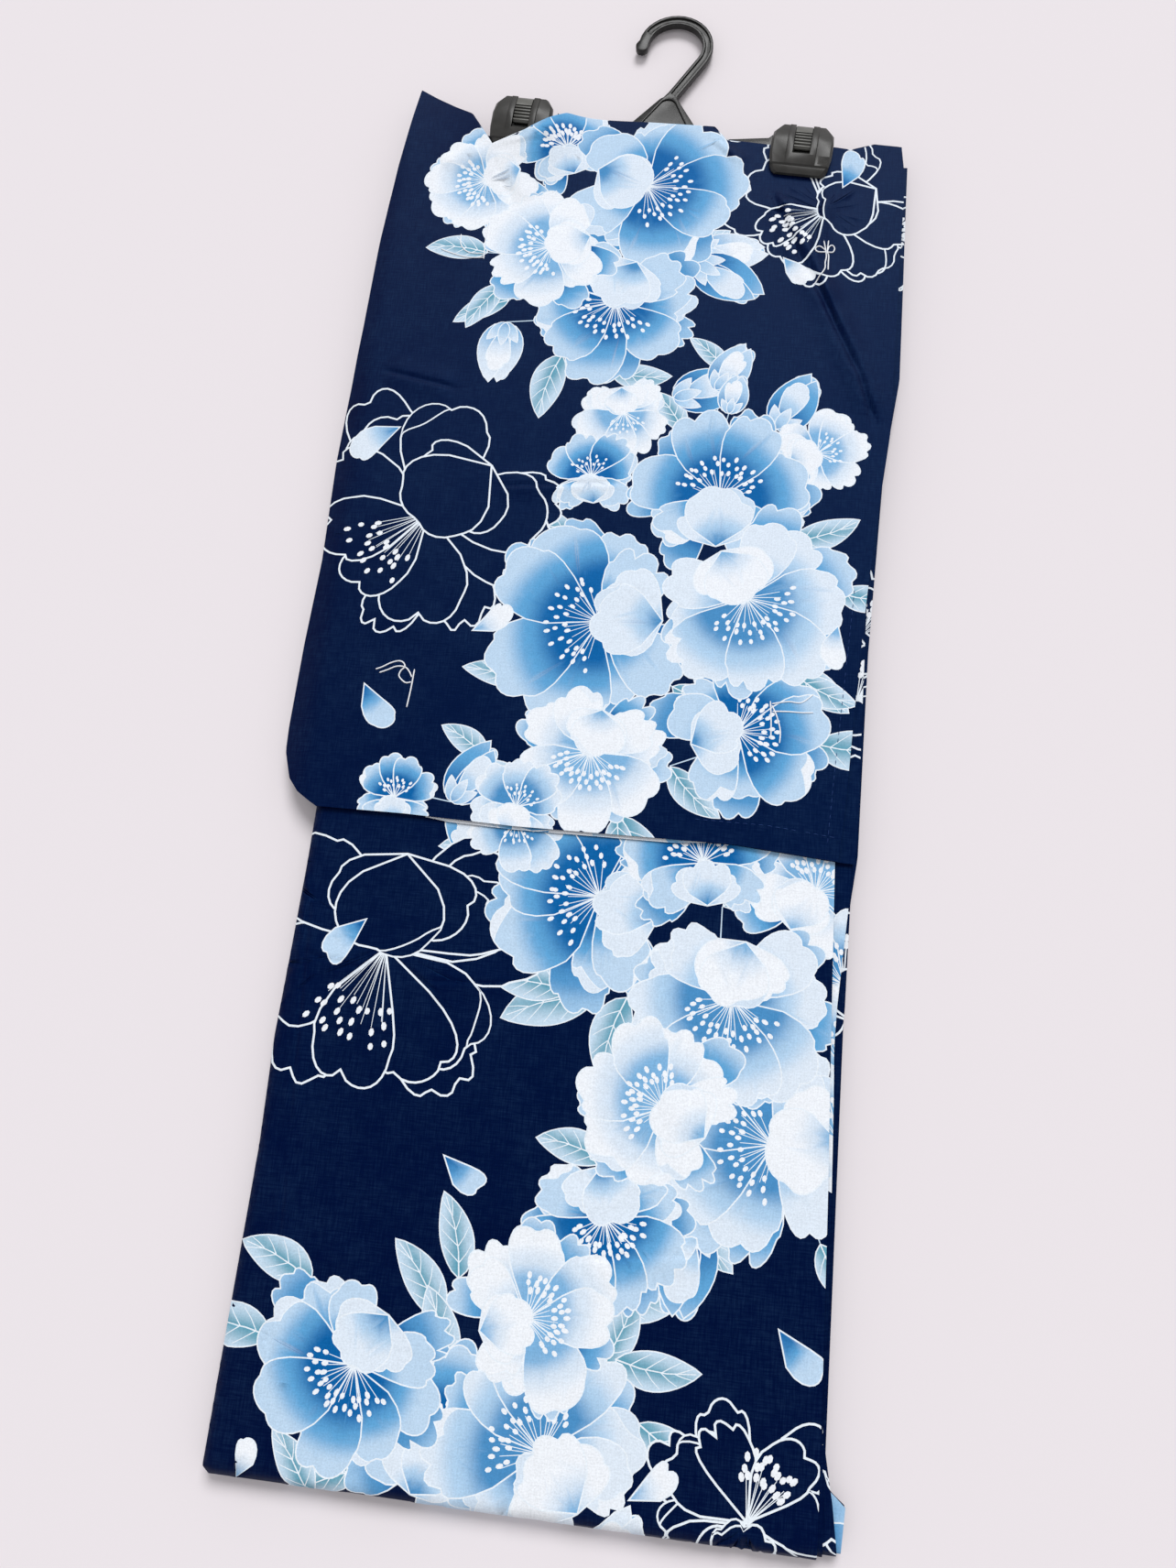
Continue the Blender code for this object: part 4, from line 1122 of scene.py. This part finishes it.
def add_tube(points, faces, path, radius, sides=6):
    """A thread along a path in millimetres, thinner at its ends."""
    start = len(points)
    count = len(path)
    for i, place in enumerate(path):
        here = Vector(place)
        ahead = Vector(path[min(i + 1, count - 1)]) - Vector(path[max(i - 1, 0)])
        side = ahead.cross(Vector((0, 0, 1)))
        side = side.normalized() if side.length > 1e-6 else Vector((1, 0, 0))
        up = side.cross(ahead).normalized()
        size = radius * (THREAD_TIP if i in (0, count - 1) else 1.0)
        for k in range(sides):
            angle = 2 * pi * k / sides
            points.append(world(*(here + size * (cos(angle) * side + sin(angle) * up))))
    for i in range(count - 1):
        for k in range(sides):
            n = (k + 1) % sides
            faces.append((start + i * sides + k, start + i * sides + n,
                          start + (i + 1) * sides + n, start + (i + 1) * sides + k))
    faces.append(tuple(start + k for k in reversed(range(sides))))
    faces.append(tuple(start + (count - 1) * sides + k for k in range(sides)))


TACKS = (                   # white tacking threads, as lines over the sleeve
    ((-105.5, 430), (-106, 418.5), (-107, 406.5)),
    ((-106.5, 422), (-110, 421.5), (-114, 425), (-113.5, 428.5), (-111.5, 431), (-112.5, 433.5),
     (-115.5, 434.5), (-120, 433), (-125, 430), (-128.5, 428.5)),
    ((-106.5, 425), (-108.5, 428.5), (-111.5, 431), (-116.5, 431), (-121.5, 428.5), (-126, 426.5)),
    ((119.5, 726), (116, 728), (113, 727.5), (112.5, 725.5), (114.5, 724), (119.5, 725.5)),
    ((120, 726), (121, 729.5), (123, 731), (124.5, 729), (123.5, 726), (120, 725.5)),
    ((120.5, 734), (120, 726), (121, 723), (121, 717.5), (121, 712)),
    ((117.5, 733), (119.5, 723), (119, 717.5), (119, 713), (117.5, 709), (115, 705), (113, 701.5)),
    ((101.5, 425.5), (102.5, 414.5), (103, 403)),
    ((102.5, 423), (105.5, 417), (108, 408.5), (108, 401)),
    ((102.5, 424), (111.5, 426), (119, 426), (125.5, 431.5)),
    ((103, 419.5), (111.5, 420), (119.5, 420), (126, 420.5)),
    ((-98.5, 742), (-98.5, 726), (-98, 711.5)),
    ((-98.5, 715.5), (-108.5, 716), (-114, 721.5), (-115, 729.5)),
    ((-98, 712.5), (-109, 712), (-120, 715), (-126.5, 717.5)),
)
TACK_RADIUS, TACK_LIFT = 0.42, 0.24
SEWN = (                    # lines of running stitches: the open edge and the hem of the sleeve
    ((146, 497), (143, 446), (140, 398), (138, 362), (137, 341)),
    ((64, 353.5), (104, 353), (125, 351), (143, 349)),
)
STITCH_PITCH, STITCH_LENGTH, STITCH_RADIUS = 4.4, 2.6, 0.2
STITCH_LIFTS = (-0.1, 0.12, 0.12, -0.1)  # a stitch comes up from the cloth and goes down again


def sleeve_skin(x, y):
    """Height of the sleeve's printed skin."""
    return float(sleeve_height(x, y) + PITCH + HALF + upper_rise(x, y))


def tacking_threads(material):
    """The maker's tacking, a thread along each line."""
    points, faces = [], []
    for line in TACKS:
        path = [(x, y, sleeve_skin(x, y) + TACK_LIFT) for x, y in smooth_path(line)]
        add_tube(points, faces, path, TACK_RADIUS)
    return painted_mesh("tacking_threads", points, faces, [DOT] * len(points), material)


def sewn_lines(material):
    """Rows of small running stitches along the sleeve's open edge and hem."""
    points, faces = [], []
    for line in SEWN:
        for (ax, ay), (bx, by) in zip(line, line[1:]):
            run = hypot(bx - ax, by - ay)
            for i in range(int(run / STITCH_PITCH)):
                path = []
                for k, lift in enumerate(STITCH_LIFTS):
                    share = (i * STITCH_PITCH + STITCH_LENGTH * k / 3) / run
                    x, y = mix(ax, bx, share), mix(ay, by, share)
                    path.append((x, y, sleeve_skin(x, y) + lift))
                add_tube(points, faces, path, STITCH_RADIUS, 5)
    return painted_mesh("sleeve_stitching", points, faces, [THREAD_NAVY] * len(points), material)


# ---------------------------------------------------------------- materials
def nodes_of(name):
    """A new material, its node tree and its shader."""
    material = bpy.data.materials.new(name)
    material.use_nodes = True
    tree = material.node_tree
    return material, tree, tree.nodes["Principled BSDF"]


def node(tree, kind, inputs=None, **settings):
    """A node with its settings, and with its inputs linked or set."""
    made = tree.nodes.new(kind)
    for key, value in settings.items():
        setattr(made, key, value)
    for key, value in (inputs or {}).items():
        if isinstance(value, bpy.types.NodeSocket):
            tree.links.new(value, made.inputs[key])
        else:
            made.inputs[key].default_value = value
    return made


def noise(tree, place, scale, detail, roughness=0.5):
    """A cloudy pattern."""
    return node(tree, "ShaderNodeTexNoise", {"Vector": place, "Scale": scale, "Detail": detail,
                                             "Roughness": roughness}).outputs["Fac"]


def combine(tree, operation, a, b):
    """Two values added or multiplied."""
    return node(tree, "ShaderNodeMath", {0: a, 1: b}, operation=operation).outputs[0]


def remap(tree, value, to_low, to_high, low=0.0, high=1.0):
    """A value taken from one range to another."""
    return node(tree, "ShaderNodeMapRange", {"Value": value, "From Min": low, "From Max": high,
                                             "To Min": to_low, "To Max": to_high}).outputs["Result"]


def blend(tree, share, a, b):
    """A colour between two."""
    return node(tree, "ShaderNodeMix", {"Factor": share, 6: a, 7: b}, data_type="RGBA").outputs[2]


def scaled(tree, colour, factor):
    """A colour made darker or lighter."""
    return node(tree, "ShaderNodeVectorMath", {0: colour, "Scale": factor}, operation="SCALE").outputs[0]


def bump(tree, height, strength, distance, **under):
    """Fine relief, over the relief under it if any."""
    return node(tree, "ShaderNodeBump", {"Height": height, "Strength": strength, "Distance": distance,
                                         **under}).outputs["Normal"]


def cotton_material():
    """Plain-woven dyed cotton: the print, its mottled dye, the weave and a faint sheen."""
    material, tree, shader = nodes_of("printed_cotton")
    place = node(tree, "ShaderNodeTexCoord").outputs["Object"]
    dye = node(tree, "ShaderNodeAttribute", attribute_name="dye").outputs["Color"]
    cloud = noise(tree, place, 38.0, 5.0, 0.62)
    grain = noise(tree, place, 1100.0, 2.0)
    bands = [node(tree, "ShaderNodeTexWave", {"Vector": place, "Scale": 560.0, "Distortion": 0.6,
                                              "Detail": 1.0}, bands_direction=way).outputs["Fac"]
             for way in ("X", "Y")]
    stretched = [node(tree, "ShaderNodeVectorMath", {0: place, 1: stretch}, operation="MULTIPLY").outputs[0]
                 for stretch in ((110.0, 1500.0, 60.0), (1500.0, 110.0, 60.0))]
    slubs = combine(tree, "MULTIPLY", *(noise(tree, along, 1.0, 2.0) for along in stretched))
    worn = combine(tree, "MULTIPLY", cloud, slubs)
    faded = blend(tree, remap(tree, worn, 0.0, 0.04, 0.08, 0.24), dye, (0.10, 0.26, 0.50, 1.0))
    speck = remap(tree, combine(tree, "ADD", grain, slubs), 0.88, 1.08, 0.5)
    weave = combine(tree, "MULTIPLY", *bands)
    total = combine(tree, "MULTIPLY", speck, remap(tree, weave, 0.93, 1.05))
    tree.links.new(scaled(tree, faded, total), shader.inputs["Base Color"])
    tree.links.new(remap(tree, cloud, 0.48, 0.6), shader.inputs["Roughness"])
    wrinkles = bump(tree, noise(tree, place, 95.0, 3.0), 0.25, 0.0006)
    tree.links.new(bump(tree, weave, 0.35, 0.00012, Normal=wrinkles), shader.inputs["Normal"])
    shader.inputs["Specular IOR Level"].default_value = 0.2
    shader.inputs["Specular Tint"].default_value = (0.05, 0.34, 0.95, 1.0)
    return material


def plastic_material(name, colour, rough_low, rough_high, gloss):
    """Moulded plastic: slight cloudiness, a fine texture, and painted shade that darkens its colour where
    it is recessed.
    """
    material, tree, shader = nodes_of(name)
    shader.inputs["Specular IOR Level"].default_value = gloss
    place = node(tree, "ShaderNodeTexCoord").outputs["Object"]
    cloud = noise(tree, place, 120.0, 4.0)
    paint = blend(tree, cloud, (*colour, 1.0), (*tint(colour, (1, 1, 1), 0.035), 1.0))
    # painted shade: the colour is darkened in grooves, slots and recesses, by how little of the air each
    # face sees
    shade_openness = node(tree, "ShaderNodeAttribute", attribute_name="open").outputs["Fac"]
    depth = remap(tree, shade_openness, 0.02, 1.0, 0.5, 0.95)
    tree.links.new(scaled(tree, paint, depth), shader.inputs["Base Color"])
    tree.links.new(remap(tree, cloud, rough_low, rough_high, 0.3, 0.7), shader.inputs["Roughness"])
    texture = bump(tree, noise(tree, place, 2600.0, 2.0), 0.3, 0.00008)
    tree.links.new(texture, shader.inputs["Normal"])
    return material


# ---------------------------------------------------------------- the hanger
REACH = 4.0 * MM            # a face is open, with no painted shade, where nothing lies within this of it
RAYS = 48
RAY_LIFT = 0.02             # the rays start this far off the face
SAME_POINT = 1e-6           # in metres
FLAT_ANGLE = radians(0.6)   # faces that turn less than this become one
EDGE_ANGLE = radians(28)    # edges that turn more than this are rounded


def hanger_surface(names):
    """All faces of the moulded pieces, to find how deep each face lies among them for the painted shade."""
    points, faces = [], []
    for name in names:
        mesh = frame["nodes"][name].data
        start = len(points)
        points += [vertex.co.copy() for vertex in mesh.vertices]
        faces += [tuple(start + i for i in face.vertices) for face in mesh.polygons]
    return BVHTree.FromPolygons(points, faces)


def paint_recess_shade(mesh, surface):
    """Store how open each face is to the air, for the shade painted into recesses: 1 in the open, less in
    grooves and slots.
    """
    dice = random.Random(4)
    rays = []
    for _ in range(RAYS):
        turn, tilt = dice.uniform(0, 2 * pi), dice.random() ** 0.5
        rays.append(Vector((tilt * cos(turn), tilt * sin(turn), (1 - tilt * tilt) ** 0.5)))
    shade_openness = []
    for face in mesh.polygons:
        turned = face.normal.to_track_quat("Z", "Y")
        start = face.center + face.normal * RAY_LIFT * MM
        hits = [surface.ray_cast(start, turned @ ray, REACH)[3] for ray in rays]
        shade_openness.append(1 - sum(1 - hit / REACH for hit in hits if hit is not None) / RAYS)
    mesh.attributes.new("open", "FLOAT", "FACE").data.foreach_set("value", shade_openness)


def refine(node_name, piece_name, surface, material, slot, width):
    """The solid of a moulded piece with its edges rounded and shade painted into its recesses."""
    mesh = frame["nodes"][node_name].data.copy()
    shape = bmesh.new()
    shape.from_mesh(mesh)
    bmesh.ops.remove_doubles(shape, verts=shape.verts, dist=SAME_POINT)
    bmesh.ops.dissolve_limit(shape, angle_limit=FLAT_ANGLE, verts=shape.verts, edges=shape.edges)
    bmesh.ops.recalc_face_normals(shape, faces=shape.faces)
    shape.to_mesh(mesh)
    shape.free()
    mesh.materials.clear()
    mesh.materials.append(material)
    # painted shade: how deep each face lies in a recess, which darkens its colour
    paint_recess_shade(mesh, surface)
    mesh.shade_smooth()
    piece = place_object(piece_name, mesh)
    bevel = piece.modifiers.new("Edges", "BEVEL")
    bevel.width = width * MM
    bevel.segments = 2
    bevel.limit_method = "ANGLE"
    bevel.angle_limit = EDGE_ANGLE
    bevel.harden_normals = True
    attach(piece, "root")
    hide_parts(node_name)


# ---------------------------------------------------------------- assembly
def build_object():
    """The robe, its threads and its hanger."""
    cotton = cotton_material()
    sleeve_design, body_design = sleeve_print(), body_print()
    left_front = side_print(5, ((270, 150, "pale"), (228, 90, "white"), (190, 60, "white")))
    right_front = side_print(6, ((740, 20, "line"), (470, 60, "line"), (275, 100, "line"),
                                 (40, 200, "line")))
    right_back = side_print(7, ((600, 40, "blue"),), (Bloom(122, 6, 36, 0, "deep"),))

    body_run("left_body_cloth", LEFT_BACK, 0, "left_body_panel", body_design, BODY_SPACING,
             cotton, True)
    body_run("left_front_cloth", LEFT_FRONT, 1, "left_body_panel", left_front, INNER_SPACING,
             cotton, False)
    body_run("right_front_cloth", RIGHT_FRONT, 2, "right_body_panel", right_front, INNER_SPACING,
             cotton, True)
    body_run("right_back_cloth", RIGHT_BACK, 3, "right_body_panel", right_back, INNER_SPACING,
             cotton, False)

    for order, right in enumerate(CORE_STEPS):
        marks = side_print(8 + order, ((90 + 240 * order, 40, "line"),))
        core_layer(f"folded_layer_{order + 1}", order, right, marks, cotton)

    upper = cloth("left_sleeve_upper", sleeve_boundary("outer_right"), sleeve_design, SLEEVE_SPACING,
                  upper_seat, cotton, SLEEVE_FOLDS + FINE_FOLDS + SLEEVE_CREASES + NOTCH_FOLDS)
    inner_marks = side_print(9, ((716, 20, "line"), (610, 120, "line"), (430, 60, "line")),
                             (Bloom(-62, 346, 26, 80, "white"), Bloom(-8, 342, 30, 100, "pale"),
                              Bloom(44, 344, 22, 60, "white")))
    lower = cloth("left_sleeve_lower", sleeve_boundary("inner_right", HEM_PEEP), inner_marks,
                  LOWER_SPACING, lower_seat, cotton)
    fold = sleeve_fold("left_sleeve_fold", sleeve_design, cotton)
    for piece in (upper, lower, fold):
        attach(piece, "root")
        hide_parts("left_sleeve")

    for piece in (tacking_threads(cotton), sewn_lines(cotton)):
        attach(piece, "root")

    black = plastic_material("black_plastic", srgb(16, 16, 16), 0.22, 0.32, 0.2)
    grey = plastic_material("grey_plastic", srgb(42, 41, 39), 0.28, 0.38, 0.2)
    light = plastic_material("slider_plastic", srgb(92, 92, 88), 0.28, 0.38, 0.2)
    parts = [("hanger_frame", black, "black_plastic", 0.4)]
    for side in ("left", "right"):
        parts += [(f"{side}_clip_back_jaw", grey, "black_plastic", 0.3),
                  (f"{side}_clip_front_jaw", grey, "black_plastic", 0.3),
                  (f"{side}_clip_slider", light, "slider_plastic", 0.12)]
    # the pieces' faces, whose nearness to each other sets the painted shade in recesses
    surface = hanger_surface([part[0] for part in parts])
    for name, material, slot, width in parts:
        refine(name, f"{name}_finished", surface, material, slot, width)


# ---------------------------------------------------------------- stage
FLOOR_REACH, FLOOR_DROP = 4.0, 0.0003
SKY_STRENGTH = 0.55
SUN_STRENGTH, SUN_SPREAD = 2.05, radians(28)
SUN_FROM = Vector((0.10, 0.66, 0.74))
LENS, FILM_WIDTH, NEAREST = 27.04, 36.0, 0.01
CAMERA_PLACE = (60.8, 204.7, 656.9)
CAMERA_AXES = (             # its right, up and back
    (0.9933, 0.0955, -0.0658), (-0.0759, 0.9643, 0.2538), (0.0877, -0.2471, 0.965),
)


def build_stage():
    """A plain pale floor, soft daylight and the camera."""
    corners = ((-1, -1), (1, -1), (1, 1), (-1, 1))
    mesh = bpy.data.meshes.new("floor")
    mesh.from_pydata([(FLOOR_REACH * x, FLOOR_REACH * y, -FLOOR_DROP) for x, y in corners], [],
                     [(0, 1, 2, 3)])
    material, _, shader = nodes_of("floor")
    shader.inputs["Base Color"].default_value = (*srgb(232, 226, 230), 1.0)
    shader.inputs["Roughness"].default_value = 0.9
    mesh.materials.append(material)
    floor = place_object("floor", mesh)

    scene = bpy.context.scene
    scene.view_settings.view_transform = "Standard"
    scene.world = bpy.data.worlds.new("studio")
    scene.world.use_nodes = True
    sky = scene.world.node_tree.nodes["Background"].inputs
    sky["Color"].default_value = (1.0, 0.99, 1.0, 1.0)
    sky["Strength"].default_value = SKY_STRENGTH

    sun = bpy.data.lights.new("key_light", "SUN")
    sun.energy = SUN_STRENGTH
    sun.angle = SUN_SPREAD
    place_object("key_light", sun).rotation_euler = SUN_FROM.to_track_quat("Z", "Y").to_euler()

    camera_data = bpy.data.cameras.new("camera")
    camera_data.lens = LENS
    camera_data.sensor_width = FILM_WIDTH
    camera_data.clip_start = NEAREST
    camera = place_object("camera", camera_data)
    camera.matrix_world = Matrix((*zip(*CAMERA_AXES, world(*CAMERA_PLACE)), (0, 0, 0, 1)))
    scene.camera = camera


build_object()
build_stage()
